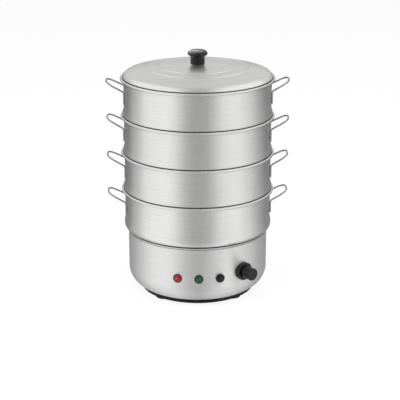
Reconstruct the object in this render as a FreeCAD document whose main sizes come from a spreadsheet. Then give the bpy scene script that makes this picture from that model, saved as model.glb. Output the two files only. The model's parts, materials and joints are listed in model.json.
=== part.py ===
import FreeCAD, Part
import math
import os
import Sketcher

# Electric dumpling steamer: a drum base with a water pan and heater, four stacked tiers and a domed lid.
# Millimetres. The origin is the centre of the footprint on the table, +Z is up and the controls face -Y.
# Azimuths are measured from the front towards +X.

DRIVING_SIZES = {
    # sheet metal common to the drum, the pan, the tiers and the lid
    "sheet": 1.2,
    "seam_gap": 0.1,
    # tiers
    "wall_radius": 150,
    "tier_pitch": 77,
    "corner_radius": 9,
    "corner_overhang": 2,
    "nest_depth": 7.5,
    "nest_gap": 0.3,
    "swage_height": 6.5,
    "swage_blend": 6,
    "spigot_depth": 3,
    "spigot_clearance": 2,
    "ledge_width": 7.4,
    "bead_radius": 2.6,
    "floor_clearance": 0.3,
    "hole_radius": 2,
    "hole_step": 20,
    "floor_margin": 12,
    # wire handles
    "wire_radius": 1.75,
    "handle_spread": 62,
    "handle_tip_width": 52,
    "handle_reach": 36,
    "handle_tilt": 28,
    "handle_drop": 25.5,
    "handle_tail": 25,
    "handle_foot_bend": 7,
    "handle_tip_bend": 21,
    # drum
    "base_step": 6,
    "base_height": 133.5,
    "base_corner": 40,
    "base_bead": 2.3,
    "flange_margin": 12,
    # bottom cover and feet
    "foot_stand": 3.3,
    "cover_ring_depth": 5.4,
    "cover_reach": 13,
    "cover_ring_width": 5,
    "cover_plate": 2,
    "foot_radius": 18.5,
    "foot_boss_radius": 13.6,
    "foot_gap": 0.4,
    "foot_edge": 1.2,
    "foot_recess_radius": 5.5,
    "foot_recess_depth": 3.4,
    "foot_bolt_radius": 2,
    "foot_bolt_head_radius": 4,
    "foot_bolt_head": 2.6,
    "foot_nut_width": 7,
    "foot_nut_height": 3.2,
    "hole_clearance": 0.2,
    "vent_length": 22,
    "vent_width": 4,
    "vent_radius": 50,
    # water pan
    "pan_inset": 4.8,
    "pan_flange_height": 10,
    "pan_flange_drop": 0.3,
    "pan_over_controls": 1.8,
    "pan_corner": 12,
    # heating element
    "heater_tube": 4,
    "heater_ring": 85,
    "heater_height": 15,
    "heater_bend": 12,
    "heater_gap_angle": 18,
    "heater_leg": 10,
    "heater_pin_radius": 1.5,
    "heater_pin_length": 8,
    "gland_nut_width": 17,
    "gland_nut_height": 4,
    "gasket_radius": 9,
    "gasket_height": 2,
    # controls on the drum
    "lamp_drop": 67.2,
    "lamp_spacing": 17.25,
    "lamp_flange_radius": 9.2,
    "lamp_flange_height": 1.8,
    "lamp_dome_radius": 6.4,
    "lamp_dome_height": 2.4,
    "lamp_barrel": 5.7,
    "lamp_barrel_wall": 1.1,
    "lamp_depth": 20,
    "lamp_nut_width": 14,
    "lamp_nut_height": 3.5,
    "bulb_radius": 2.1,
    "bulb_length": 12,
    "blade_width": 4.8,
    "blade_length": 7,
    "blade_sheet": 0.8,
    "seat_gap": 0.3,
    # reset button
    "button_radius": 6.2,
    "button_gap": 0.3,
    "button_height": 3,
    "button_crown": 0.9,
    "button_travel": 2,
    "button_stem": 2.5,
    "bezel_radius": 9.2,
    "bezel_height": 3.2,
    "cutout_well": 5,
    "cutout_well_depth": 6,
    "cutout_width": 18,
    "cutout_depth": 18,
    "spring_radius": 4.1,
    "spring_wire": 0.35,
    "spring_turns": 5,
    # thermostat
    "knob_azimuth": 38.5,
    "knob_drop": 61,
    "skirt_radius": 18.5,
    "skirt_depth": 8,
    "skirt_round": 2.5,
    "skirt_wall": 2.2,
    "skirt_lift": 0.5,
    "grip_radius": 13.2,
    "grip_taper": 0.5,
    "knob_projection": 31,
    "flute_radius": 2.2,
    "flute_depth": 0.9,
    "flute_count": 10,
    "shaft_radius": 3,
    "shaft_flat": 1.6,
    "shaft_clearance": 0.05,
    "shaft_engagement": 16,
    "bushing_radius": 5,
    "thermostat_width": 36,
    "thermostat_tall": 32,
    "thermostat_depth": 22,
    "thermostat_screw_pitch": 22,
    "panel_screw_radius": 1.9,
    "panel_screw_head": 3,
    "panel_screw_head_height": 2.2,
    "sensor_radius": 3,
    "sensor_length": 60,
    "capillary_radius": 1,
    # power inlet
    "inlet_drop": 73.5,
    "inlet_flange_width": 50,
    "inlet_flange_tall": 28,
    "inlet_flange": 3,
    "inlet_barrel_width": 29,
    "inlet_barrel_tall": 21,
    "inlet_wall": 2.2,
    "inlet_recess": 17,
    "inlet_depth": 26,
    "bezel_border": 3,
    "bezel_stand": 3,
    "inlet_screw_pitch": 40,
    "pin_width": 4,
    "pin_sheet": 2,
    "pin_spacing": 14,
    "pin_drop": 4,
    "pin_length": 14,
    "inlet_nut_width": 5.5,
    # wiring
    "block_width": 52,
    "block_depth": 18,
    "block_height": 15,
    "block_setback": 62,
    "lead_radius": 1.2,
    # lid
    "lid_skirt_clearance": 1.2,
    "lid_skirt_depth": 12,
    "lid_shoulder_radius": 17,
    "lid_shoulder_inset": 12,
    "lid_shoulder_rise": 9.4,
    "lid_crown": 26.5,
    "emboss_outer_radius": 100,
    "emboss_inner_radius": 76,
    "emboss_width": 6,
    "emboss_height": 1.1,
    "lid_bolt_radius": 2.5,
    "lid_bolt_head_radius": 4.5,
    "lid_bolt_head": 3,
    "lid_bolt_grip": 14,
    "lid_washer_radius": 8,
    "lid_washer": 1.2,
    "stem_radius": 14.6,
    "stem_height": 12.35,
    "cap_radius": 20.4,
    "cap_flare_height": 9.2,
    "cap_height": 6.5,
    "cap_top_radius": 12,
    "cap_crown": 0.8,
    "cap_edge_inset": 2,
    "cap_edge_drop": 4.5,
    "cap_edge_lift": 1,
    "neck_round": 8,
    "cap_edge_round": 5,
    "cap_round": 9,
}

TIER_TURNS = {1: 1.0, 2: -2.5, 3: 0.5, 4: 2.0}
FULL_TURN = 360
FOOT_COUNT = 4
SPRING_WIRE_SIDES = 8


class Size:
    """A length or an angle that knows its number and the spreadsheet expression behind it."""

    def __init__(self, number, text):
        self.number = number
        self.text = text

    def joined(self, other, number, pattern):
        return Size(number, "(" + pattern.format(self.text, other.text) + ")")

    def __add__(self, other):
        other = as_size(other)
        return self.joined(other, self.number + other.number, "{} + {}")

    def __radd__(self, other):
        return as_size(other) + self

    def __sub__(self, other):
        other = as_size(other)
        return self.joined(other, self.number - other.number, "{} - {}")

    def __rsub__(self, other):
        return as_size(other) - self

    def __mul__(self, other):
        other = as_size(other)
        return self.joined(other, self.number * other.number, "{} * {}")

    def __rmul__(self, other):
        return as_size(other) * self

    def __truediv__(self, other):
        other = as_size(other)
        return self.joined(other, self.number / other.number, "{} / {}")

    def __neg__(self):
        return 0 - self


def as_size(value):
    """Turn a plain number into a Size, and leave a Size alone."""
    if isinstance(value, Size):
        return value
    return Size(float(value), "{:.6f}".format(value))


def root(value):
    return Size(math.sqrt(value.number), "sqrt(" + value.text + ")")


def sine(angle):
    angle = as_size(angle)
    return Size(math.sin(math.radians(angle.number)), "sin(" + angle.text + ")")


def cosine(angle):
    angle = as_size(angle)
    return Size(math.cos(math.radians(angle.number)), "cos(" + angle.text + ")")


def tangent(angle):
    angle = as_size(angle)
    return Size(math.tan(math.radians(angle.number)), "tan(" + angle.text + ")")


class Sizes:
    """The driving sizes by name."""


doc = FreeCAD.newDocument("dumpling_steamer")
sheet = doc.addObject("Spreadsheet::Sheet", "sizes")
sizes = Sizes()
for row, (alias, value) in enumerate(DRIVING_SIZES.items(), start=1):
    cell = "A" + str(row)
    sheet.set(cell, str(value))
    sheet.setAlias(cell, alias)
    setattr(sizes, alias, Size(float(value), "sizes." + alias))
doc.recompute()

nodes = []
Vector = FreeCAD.Vector
UP = Vector(0, 0, 1)


# Helpers that draw and place

def bind(item, name, value):
    """Set a property to a size and tie it to the sheet."""
    value = as_size(value)
    setattr(item, name, value.number)
    item.setExpression(name, value.text)


def place(item, x=0, y=0, z=0, turn=None):
    """Place an object, with each coordinate tied to the sheet."""
    spot = [as_size(value) for value in (x, y, z)]
    turn = turn or FreeCAD.Rotation()
    item.Placement = FreeCAD.Placement(Vector(*[value.number for value in spot]), turn)
    for letter, value in zip("xyz", spot):
        item.setExpression("Placement.Base." + letter, value.text)
    return item


def node(item, label):
    """Name an object as a sub-part that is written to its own file."""
    item.Label = label
    nodes.append(item)
    return item


def new_body(name, several=False):
    body = doc.addObject("PartDesign::Body", name)
    body.AllowCompound = several
    return body


def plane_of(body, role):
    return [item for item in body.Origin.OriginFeatures if item.Role == role][0]


def new_sketch(body, name, role, offset):
    sketch = body.newObject("Sketcher::SketchObject", name)
    sketch.AttachmentSupport = (plane_of(body, role), [""])
    sketch.MapMode = "FlatFace"
    offset = as_size(offset)
    sketch.AttachmentOffset = FreeCAD.Placement(Vector(0, 0, offset.number), FreeCAD.Rotation())
    sketch.setExpression("AttachmentOffset.Base.z", offset.text)
    return sketch


def fix_coordinate(sketch, kind, shape, point, value):
    """Hold one coordinate of a sketch point at a size; an axis holds a plain zero."""
    if not isinstance(value, Size) and value == 0:
        axis = -2 if kind == "DistanceX" else -1
        sketch.addConstraint(Sketcher.Constraint("PointOnObject", shape, point, axis))
        return
    value = as_size(value)
    if value.number >= 0:
        limit = Sketcher.Constraint(kind, -1, 1, shape, point, value.number)
        text = value.text
    else:
        limit = Sketcher.Constraint(kind, shape, point, -1, 1, -value.number)
        text = "-" + value.text
    index = sketch.addConstraint(limit)
    sketch.setExpression("Constraints[{}]".format(index), text)


def arc_between(start, end, radius, side):
    """An arc of under half a turn; side 1 turns left on the way from start to end, -1 turns right."""
    middle = (start + end) * 0.5
    chord = end - start
    across = Vector(-chord.y, chord.x, 0).normalize()
    rise = math.sqrt(max(radius * radius - chord.Length * chord.Length / 4, 0))
    centre = middle + across * (rise * side)
    first, last = (start, end) if side > 0 else (end, start)
    angle_first = math.atan2(first.y - centre.y, first.x - centre.x)
    angle_last = math.atan2(last.y - centre.y, last.x - centre.x)
    return Part.ArcOfCircle(Part.Circle(centre, UP, radius), angle_first, angle_last)


def outline(body, name, corners, role="XZ_Plane", offset=0):
    """A closed sketch. A corner is (x, y), or (x, y, radius, side) where an arc leads to the next one."""
    sketch = new_sketch(body, name, role, offset)
    spots = [Vector(as_size(corner[0]).number, as_size(corner[1]).number, 0) for corner in corners]
    ends = []
    for index, corner in enumerate(corners):
        start = spots[index]
        end = spots[(index + 1) % len(corners)]
        if len(corner) == 2:
            shape = sketch.addGeometry(Part.LineSegment(start, end), False)
            ends.append((shape, 1, 2))
        else:
            radius = as_size(corner[2])
            arc = arc_between(start, end, radius.number, corner[3])
            shape = sketch.addGeometry(arc, False)
            ends.append((shape, 1, 2) if corner[3] > 0 else (shape, 2, 1))
    for index, (shape, first, last) in enumerate(ends):
        following = ends[(index + 1) % len(ends)]
        sketch.addConstraint(Sketcher.Constraint("Coincident", shape, last, following[0], following[1]))
    for (shape, first, last), corner in zip(ends, corners):
        fix_coordinate(sketch, "DistanceX", shape, first, corner[0])
        fix_coordinate(sketch, "DistanceY", shape, first, corner[1])
        if len(corner) == 4:
            radius = as_size(corner[2])
            index = sketch.addConstraint(Sketcher.Constraint("Radius", shape, radius.number))
            sketch.setExpression("Constraints[{}]".format(index), radius.text)
    return sketch


def disc(body, name, radius, x=0, y=0, role="XY_Plane", offset=0):
    """A sketch of one circle."""
    radius = as_size(radius)
    sketch = new_sketch(body, name, role, offset)
    centre = Vector(as_size(x).number, as_size(y).number, 0)
    shape = sketch.addGeometry(Part.Circle(centre, UP, radius.number), False)
    fix_coordinate(sketch, "DistanceX", shape, 3, x)
    fix_coordinate(sketch, "DistanceY", shape, 3, y)
    index = sketch.addConstraint(Sketcher.Constraint("Radius", shape, radius.number))
    sketch.setExpression("Constraints[{}]".format(index), radius.text)
    return sketch


def rectangle(width, height, x=0, y=0):
    """The corners of a rectangle with its centre at x, y."""
    left, right = x - width / 2, x + width / 2
    low, high = y - height / 2, y + height / 2
    return [(left, low), (right, low), (right, high), (left, high)]


def hexagon(width, x=0, y=0):
    """The corners of a hexagon by its width across flats."""
    side = width / math.sqrt(3)
    half = width / 2
    return [
        (x - half, y - side / 2),
        (x, y - side),
        (x + half, y - side / 2),
        (x + half, y + side / 2),
        (x, y + side),
        (x - half, y + side / 2),
    ]


def turned(body, name, corners, cut=False):
    """A solid of revolution about the body's Z axis, or a groove cut from it."""
    sketch = outline(body, name + "_outline", corners)
    kind = "PartDesign::Groove" if cut else "PartDesign::Revolution"
    feature = body.newObject(kind, name)
    feature.Profile = sketch
    feature.ReferenceAxis = (sketch, ["V_Axis"])
    feature.Angle = FULL_TURN
    feature.Refine = False
    return feature


def pushed(body, name, sketch, length, cut=False):
    """A pad along the sketch's normal, or a pocket against it."""
    feature = body.newObject("PartDesign::Pocket" if cut else "PartDesign::Pad", name)
    feature.Profile = sketch
    bind(feature, "Length", length)
    feature.Refine = False
    return feature


def drilled(body, name, radius, length, x=0, y=0, z=0, turn=None):
    """Cut a cylinder that starts at x, y, z and runs along the turned Z axis."""
    feature = body.newObject("PartDesign::SubtractiveCylinder", name)
    bind(feature, "Radius", radius)
    bind(feature, "Height", length)
    place(feature, x, y, z, turn)
    feature.Refine = False
    return feature


def ringed(body, feature, count, name):
    """Repeat a feature evenly about the body's Z axis."""
    pattern = body.newObject("PartDesign::PolarPattern", name)
    pattern.Originals = [feature]
    pattern.Axis = (plane_of(body, "Z_Axis"), [""])
    pattern.Angle = FULL_TURN
    pattern.Occurrences = count
    pattern.Refine = False
    body.Tip = pattern
    return pattern


def copy_of(masters, name):
    """A placed copy of one or more master objects."""
    item = doc.addObject("Part::Compound", name)
    item.Links = masters
    return item


def facing(azimuth):
    """The turn that points Z straight out of the drum at an azimuth and keeps Y up."""
    angle = math.radians(azimuth)
    outward = Vector(math.sin(angle), -math.cos(angle), 0)
    return FreeCAD.Rotation(UP.cross(outward), UP, outward, "ZYX")


def on_drum(item, azimuth, height):
    """Place an object with its XY plane touching the outside of the drum."""
    x = base_radius * sine(azimuth)
    y = -base_radius * cosine(azimuth)
    return place(item, x, y, height, facing(as_size(azimuth).number))


def rounded_path(points, radii):
    """A wire of straight runs joined by tangent arcs, with one radius for each inner point."""
    edges = []
    start = points[0]
    for index, radius in enumerate(radii, start=1):
        corner = points[index]
        incoming = (corner - points[index - 1]).normalize()
        outgoing = (points[index + 1] - corner).normalize()
        half_turn = incoming.getAngle(outgoing) / 2
        setback = radius * math.tan(half_turn)
        bisector = (outgoing - incoming).normalize()
        centre = corner + bisector * (radius / math.cos(half_turn))
        arc_start = corner - incoming * setback
        arc_end = corner + outgoing * setback
        edges.append(Part.LineSegment(start, arc_start).toShape())
        edges.append(Part.Arc(arc_start, centre - bisector * radius, arc_end).toShape())
        start = arc_end
    edges.append(Part.LineSegment(start, points[-1]).toShape())
    return Part.Wire(edges)


def swept(name, path, radius):
    """A round wire along a path, as a feature of the document."""
    first = path.OrderedEdges[0]
    direction = first.tangentAt(first.FirstParameter)
    profile = Part.Wire([Part.makeCircle(radius, path.OrderedVertexes[0].Point, direction)])
    shape = path.makePipeShell([profile], True, False)
    expected = math.pi * radius * radius * path.Length
    if abs(shape.Volume / expected - 1) > 0.02:
        raise ValueError(name + ": the swept volume is wrong")
    item = doc.addObject("Part::Feature", name)
    item.Shape = shape
    return item


# Levels and radii that several sub-parts share

shell_bottom = sizes.foot_stand + sizes.cover_ring_depth
flange_top = shell_bottom + sizes.sheet
base_radius = sizes.wall_radius - sizes.base_step
inner_base_radius = base_radius - sizes.sheet
bottom_edge_radius = base_radius - sizes.base_corner
cover_radius = bottom_edge_radius + sizes.cover_reach
foot_pitch_radius = cover_radius - sizes.cover_ring_width - sizes.foot_boss_radius - sizes.foot_gap
flange_inner = foot_pitch_radius - sizes.flange_margin
lamp_height = sizes.base_height - sizes.lamp_drop
knob_height = sizes.base_height - sizes.knob_drop
inlet_height = sizes.base_height - sizes.inlet_drop
pan_rim = sizes.base_height - 2 * sizes.base_bead - sizes.pan_flange_drop
pan_underside = knob_height + sizes.thermostat_tall / 2 + sizes.pan_over_controls
pan_radius = inner_base_radius - sizes.pan_inset
pan_floor = pan_underside + sizes.sheet
bead_centre_radius = base_radius - sizes.sheet / 4
mouth_radius = bead_centre_radius - sizes.base_bead
spigot_radius = mouth_radius - sizes.spigot_clearance
corner_centre = sizes.wall_radius + sizes.corner_overhang - sizes.corner_radius
corner_level = sizes.corner_radius - sizes.nest_depth
corner_edge = corner_centre + sizes.corner_radius
lowest_plane = sizes.base_height + sizes.nest_depth + sizes.nest_gap
top_rim = lowest_plane + 4 * sizes.tier_pitch
floor_radius = spigot_radius - sizes.sheet - sizes.floor_clearance
lamp_azimuths = {"red_lamp": -1 * sizes.lamp_spacing, "green_lamp": 0 * sizes.lamp_spacing}
button_azimuth = sizes.lamp_spacing
inlet_azimuth = as_size(180)
leg_x = sizes.heater_ring * sine(sizes.heater_gap_angle) - sizes.heater_bend * cosine(sizes.heater_gap_angle)
leg_y = sizes.heater_ring * cosine(sizes.heater_gap_angle) + sizes.heater_bend * sine(sizes.heater_gap_angle)
lamp_hole = sizes.lamp_barrel + sizes.hole_clearance
inner_face = -1 * (sizes.sheet + sizes.seat_gap)


def foot_spots():
    """The centres of the feet, each as x, y."""
    spots = []
    for index in range(FOOT_COUNT):
        azimuth = (index + 0.5) * FULL_TURN / FOOT_COUNT
        spots.append((foot_pitch_radius * cosine(azimuth), foot_pitch_radius * sine(azimuth)))
    return spots


# Drum, pan, cover and feet

def make_base_shell():
    """The drawn drum: turned-in bottom flange, large corner, straight wall and a rolled rim."""
    body = new_body("base_shell")
    radius, corner, skin, bead = base_radius, sizes.base_corner, sizes.sheet, sizes.base_bead
    bead_level = sizes.base_height - bead
    outer_dip = root(bead * bead - (radius - bead_centre_radius) * (radius - bead_centre_radius))
    inner_step = inner_base_radius - bead_centre_radius
    inner_dip = root(bead * bead - inner_step * inner_step)
    turned(body, "drum", [
        (flange_inner, shell_bottom),
        (radius - corner, shell_bottom, corner, 1),
        (radius, shell_bottom + corner),
        (radius, bead_level - outer_dip, bead, 1),
        (bead_centre_radius + bead, bead_level, bead, 1),
        (bead_centre_radius, sizes.base_height, bead, 1),
        (bead_centre_radius - bead, bead_level, bead, 1),
        (inner_base_radius, bead_level - inner_dip),
        (inner_base_radius, shell_bottom + corner, corner - skin, -1),
        (radius - corner, flange_top),
        (flange_inner, flange_top),
    ])
    cut = 4 * sizes.sheet
    for name, azimuth in {**lamp_azimuths, "button": button_azimuth}.items():
        feature = drilled(body, name + "_hole", lamp_hole, cut)
        radial(feature, azimuth, lamp_height, -cut / 2)
    feature = drilled(body, "bushing_hole", sizes.bushing_radius + sizes.hole_clearance, cut)
    radial(feature, sizes.knob_azimuth, knob_height, -cut / 2)
    for side in (-1, 1):
        feature = drilled(body, "thermostat_screw_hole", sizes.panel_screw_radius + sizes.hole_clearance, cut)
        sideways = side * sizes.thermostat_screw_pitch / 2
        radial(feature, sizes.knob_azimuth, knob_height, -cut / 2, sideways)
        feature = drilled(body, "inlet_screw_hole", sizes.panel_screw_radius + sizes.hole_clearance, 2 * cut)
        radial(feature, inlet_azimuth, inlet_height, -1.5 * cut, side * sizes.inlet_screw_pitch / 2)
    opening = body.newObject("PartDesign::SubtractiveBox", "inlet_opening")
    wide = sizes.inlet_barrel_width + 2 * sizes.hole_clearance
    tall = sizes.inlet_barrel_tall + 2 * sizes.hole_clearance
    bind(opening, "Length", wide)
    bind(opening, "Width", 2 * cut)
    bind(opening, "Height", tall)
    place(opening, -wide / 2, base_radius - cut, inlet_height - tall / 2)
    for x, y in foot_spots():
        drilled(body, "foot_bolt_hole", sizes.foot_bolt_radius + sizes.hole_clearance, cut, x, y, shell_bottom - 1)
    return node(body, "base_shell")


def radial(feature, azimuth, height, start, sideways=0):
    """Point a cylinder out of the drum, from a start depth measured from the drum's outer face."""
    out = base_radius + start
    x = out * sine(azimuth) + sideways * cosine(azimuth)
    y = sideways * sine(azimuth) - out * cosine(azimuth)
    return place(feature, x, y, height, facing(as_size(azimuth).number))


def make_water_pan():
    """The pan that holds the water and hangs by its flange inside the drum's mouth."""
    body = new_body("water_pan")
    outer = inner_base_radius - sizes.seam_gap
    skin = sizes.sheet
    step_out = outer - pan_radius
    flange_foot = pan_rim - sizes.pan_flange_height
    turned(body, "pan", [
        (0, pan_underside),
        (pan_radius - sizes.pan_corner, pan_underside, sizes.pan_corner, 1),
        (pan_radius, pan_underside + sizes.pan_corner),
        (pan_radius, flange_foot - step_out),
        (outer, flange_foot),
        (outer, pan_rim),
        (outer - skin, pan_rim),
        (outer - skin, flange_foot + skin / 2),
        (pan_radius - skin, flange_foot - step_out + skin / 2),
        (pan_radius - skin, pan_underside + sizes.pan_corner, sizes.pan_corner - skin, -1),
        (pan_radius - sizes.pan_corner, pan_floor),
        (0, pan_floor),
    ])
    for side in (-1, 1):
        hole = sizes.heater_tube + sizes.seam_gap
        drilled(body, "heater_hole", hole, 4 * skin, side * leg_x, leg_y, pan_underside - skin)
    return node(body, "water_pan")


def make_bottom_cover():
    """The black plate and down-turned ring that close the drum from below."""
    body = new_body("bottom_cover")
    nest = sizes.base_corner + sizes.nest_gap
    centre_level = shell_bottom + sizes.base_corner
    reach = sizes.cover_reach
    inset = 2 * sizes.cover_plate
    plate_bottom = shell_bottom - sizes.cover_plate
    turned(body, "cover", [
        (0, plate_bottom),
        (cover_radius - sizes.cover_ring_width, plate_bottom),
        (cover_radius - sizes.cover_ring_width, sizes.foot_stand),
        (cover_radius, sizes.foot_stand),
        (cover_radius, centre_level - root(nest * nest - reach * reach), nest, -1),
        (bottom_edge_radius, centre_level - nest),
        (bottom_edge_radius - inset, shell_bottom),
        (0, shell_bottom),
    ])
    for x, y in foot_spots():
        hole = sizes.foot_bolt_radius + sizes.hole_clearance
        drilled(body, "bolt_hole", hole, 3 * sizes.cover_plate, x, y, plate_bottom - sizes.cover_plate / 2)
    half = sizes.vent_width / 2
    near, far = sizes.vent_radius - sizes.vent_length / 2, sizes.vent_radius + sizes.vent_length / 2
    vent = outline(body, "vent_outline", [
        (near, -half),
        (far, -half, half, 1),
        (far + half, 0, half, 1),
        (far, half),
        (near, half, half, 1),
        (near - half, 0, half, 1),
    ], "XY_Plane", shell_bottom + 1)
    slot = pushed(body, "vent", vent, 3 * sizes.cover_plate, cut=True)
    ringed(body, slot, 12, "vents")
    return node(body, "bottom_cover")


def make_feet():
    """Four round feet with a boss inside the cover's ring, and their bolts and nuts."""
    foot = new_body("one_foot")
    top = shell_bottom - sizes.cover_plate
    hole = sizes.foot_bolt_radius + sizes.hole_clearance
    turned(foot, "foot", [
        (sizes.foot_recess_radius, 0),
        (sizes.foot_radius - sizes.foot_edge, 0, sizes.foot_edge, 1),
        (sizes.foot_radius, sizes.foot_edge),
        (sizes.foot_radius, sizes.foot_stand),
        (sizes.foot_boss_radius, sizes.foot_stand),
        (sizes.foot_boss_radius, top),
        (hole, top),
        (hole, sizes.foot_recess_depth),
        (sizes.foot_recess_radius, sizes.foot_recess_depth),
    ])
    bolt = new_body("one_foot_bolt")
    nut_top = flange_top + sizes.foot_nut_height
    head_bottom = sizes.foot_recess_depth - sizes.foot_bolt_head
    turned(bolt, "bolt", [
        (0, head_bottom),
        (sizes.foot_bolt_head_radius, head_bottom),
        (sizes.foot_bolt_head_radius, sizes.foot_recess_depth),
        (sizes.foot_bolt_radius, sizes.foot_recess_depth),
        (sizes.foot_bolt_radius, nut_top + 1),
        (0, nut_top + 1),
    ])
    nut = new_body("one_foot_nut")
    pushed(nut, "nut", outline(nut, "flats", hexagon(sizes.foot_nut_width), "XY_Plane", flange_top),
           sizes.foot_nut_height)
    drilled(nut, "thread", sizes.foot_bolt_radius + sizes.shaft_clearance, 3 * sizes.foot_nut_height, 0, 0,
            shell_bottom)
    for master, label in ((foot, "feet"), (bolt, "foot_bolts"), (nut, "foot_nuts")):
        copies = []
        for x, y in foot_spots():
            copies.append(place(copy_of([master], label + "_one"), x, y))
        node(copy_of(copies, label), label)


# Heating element

def make_heater():
    """The tubular element in the pan: two legs through the floor and one open ring."""
    level = pan_floor.number + sizes.heater_height.number
    bend = sizes.heater_bend.number
    gap = math.radians(sizes.heater_gap_angle.number)
    ring = sizes.heater_ring.number
    low = pan_underside.number - sizes.heater_leg.number
    edges = []
    for side in (1, -1):
        start = Vector(side * ring * math.sin(gap), ring * math.cos(gap), level)
        along = Vector(side * math.cos(gap), -math.sin(gap), 0)
        foot = start - along * bend
        knee = Vector(foot.x, foot.y, level - bend)
        centre = knee + along * bend
        middle = centre + (UP - along) * (bend * math.sqrt(0.5))
        leg = [Part.LineSegment(Vector(foot.x, foot.y, low), knee).toShape()]
        leg.append(Part.Arc(knee, middle, start).toShape())
        edges.append(leg)
    halves = []
    bottom = Vector(0, -ring, level)
    for side in (1, -1):
        start = Vector(side * ring * math.sin(gap), ring * math.cos(gap), level)
        angle = (math.pi + gap) / 2
        middle = Vector(side * ring * math.sin(angle), ring * math.cos(angle), level)
        halves.append(Part.Arc(start, middle, bottom).toShape())
    path = Part.Wire([edges[0][0], edges[0][1], halves[0], halves[1], edges[1][1], edges[1][0]])
    node(swept("heater_element", path, sizes.heater_tube.number), "heater_element")

    nut = new_body("one_gland_nut")
    nut_sketch = outline(nut, "flats", hexagon(sizes.gland_nut_width), "XY_Plane",
                         pan_underside - sizes.gland_nut_height)
    pushed(nut, "nut", nut_sketch, sizes.gland_nut_height)
    gasket = new_body("one_gasket")
    pushed(gasket, "gasket", disc(gasket, "rim", sizes.gasket_radius, offset=pan_floor), sizes.gasket_height)
    for piece in (nut, gasket):
        drilled(piece, "bore", sizes.heater_tube + sizes.shaft_clearance, sizes.heater_leg * 2, 0, 0,
                pan_underside - sizes.heater_leg)
    pin = new_body("one_heater_pin")
    pin_low = pan_underside - sizes.heater_leg - sizes.heater_pin_length
    pushed(pin, "pin", disc(pin, "rim", sizes.heater_pin_radius, offset=pin_low), sizes.heater_pin_length)
    for master, label in ((nut, "heater_gland_nuts"), (gasket, "heater_gaskets"), (pin, "heater_pins")):
        copies = [place(copy_of([master], label + "_one"), side * leg_x, leg_y) for side in (-1, 1)]
        node(copy_of(copies, label), label)


# Indicator lamps

def make_lamps():
    """Two indicator lamps: lens, holder, neon bulb, nut behind the wall and two blades each."""
    inner = sizes.lamp_barrel - sizes.lamp_barrel_wall
    front = sizes.seat_gap
    lens = new_body("one_lens")
    flange_top_level = front + sizes.lamp_flange_height
    crown = flange_top_level + sizes.lamp_dome_height
    dome = sizes.lamp_dome_radius
    dome_curve = (dome * dome + sizes.lamp_dome_height * sizes.lamp_dome_height) / (2 * sizes.lamp_dome_height)
    round_edge = sizes.lamp_flange_height / 2
    turned(lens, "lens", [
        (0, -3 * sizes.sheet),
        (inner - sizes.shaft_clearance, -3 * sizes.sheet),
        (inner - sizes.shaft_clearance, front),
        (sizes.lamp_flange_radius, front),
        (sizes.lamp_flange_radius, flange_top_level - round_edge, round_edge, 1),
        (sizes.lamp_flange_radius - round_edge, flange_top_level),
        (dome, flange_top_level, dome_curve, 1),
        (0, crown),
    ])
    holder = new_body("one_holder")
    back = -1 * sizes.lamp_depth
    turned(holder, "holder", [
        (0, back),
        (sizes.lamp_barrel, back),
        (sizes.lamp_barrel, front),
        (inner, front),
        (inner, back + sizes.lamp_barrel_wall * 2),
        (0, back + sizes.lamp_barrel_wall * 2),
    ])
    bulb = new_body("one_bulb")
    bulb_foot = back + sizes.lamp_barrel_wall * 2
    turned(bulb, "bulb", [
        (0, bulb_foot),
        (sizes.bulb_radius, bulb_foot),
        (sizes.bulb_radius, bulb_foot + sizes.bulb_length - sizes.bulb_radius, sizes.bulb_radius, 1),
        (0, bulb_foot + sizes.bulb_length),
    ])
    nut = new_body("one_lamp_nut")
    nut_front = inner_face - sizes.seat_gap
    pushed(nut, "nut", outline(nut, "flats", hexagon(sizes.lamp_nut_width), "XY_Plane",
                               nut_front - sizes.lamp_nut_height), sizes.lamp_nut_height)
    drilled(nut, "thread", sizes.lamp_barrel + sizes.shaft_clearance, sizes.lamp_depth, 0, 0, back)
    blades = new_body("one_blade_pair", several=True)
    for side in (-1, 1):
        corners = rectangle(sizes.blade_sheet, sizes.blade_width, side * sizes.lamp_barrel / 2)
        sketch = outline(blades, "blade_outline", corners, "XY_Plane", back - sizes.blade_length)
        pushed(blades, "blade", sketch, sizes.blade_length)
    shared = {"lamp_bulbs": bulb, "lamp_nuts": nut, "lamp_blades": blades}
    for name, azimuth in lamp_azimuths.items():
        node(on_drum(copy_of([lens], name + "_lens"), azimuth, lamp_height), name + "_lens")
        node(on_drum(copy_of([holder], name + "_holder"), azimuth, lamp_height), name + "_holder")
    for label, master in shared.items():
        copies = []
        for azimuth in lamp_azimuths.values():
            copies.append(on_drum(copy_of([master], label + "_one"), azimuth, lamp_height))
        node(copy_of(copies, label), label)


# Reset button and the cut-out behind it

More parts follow.
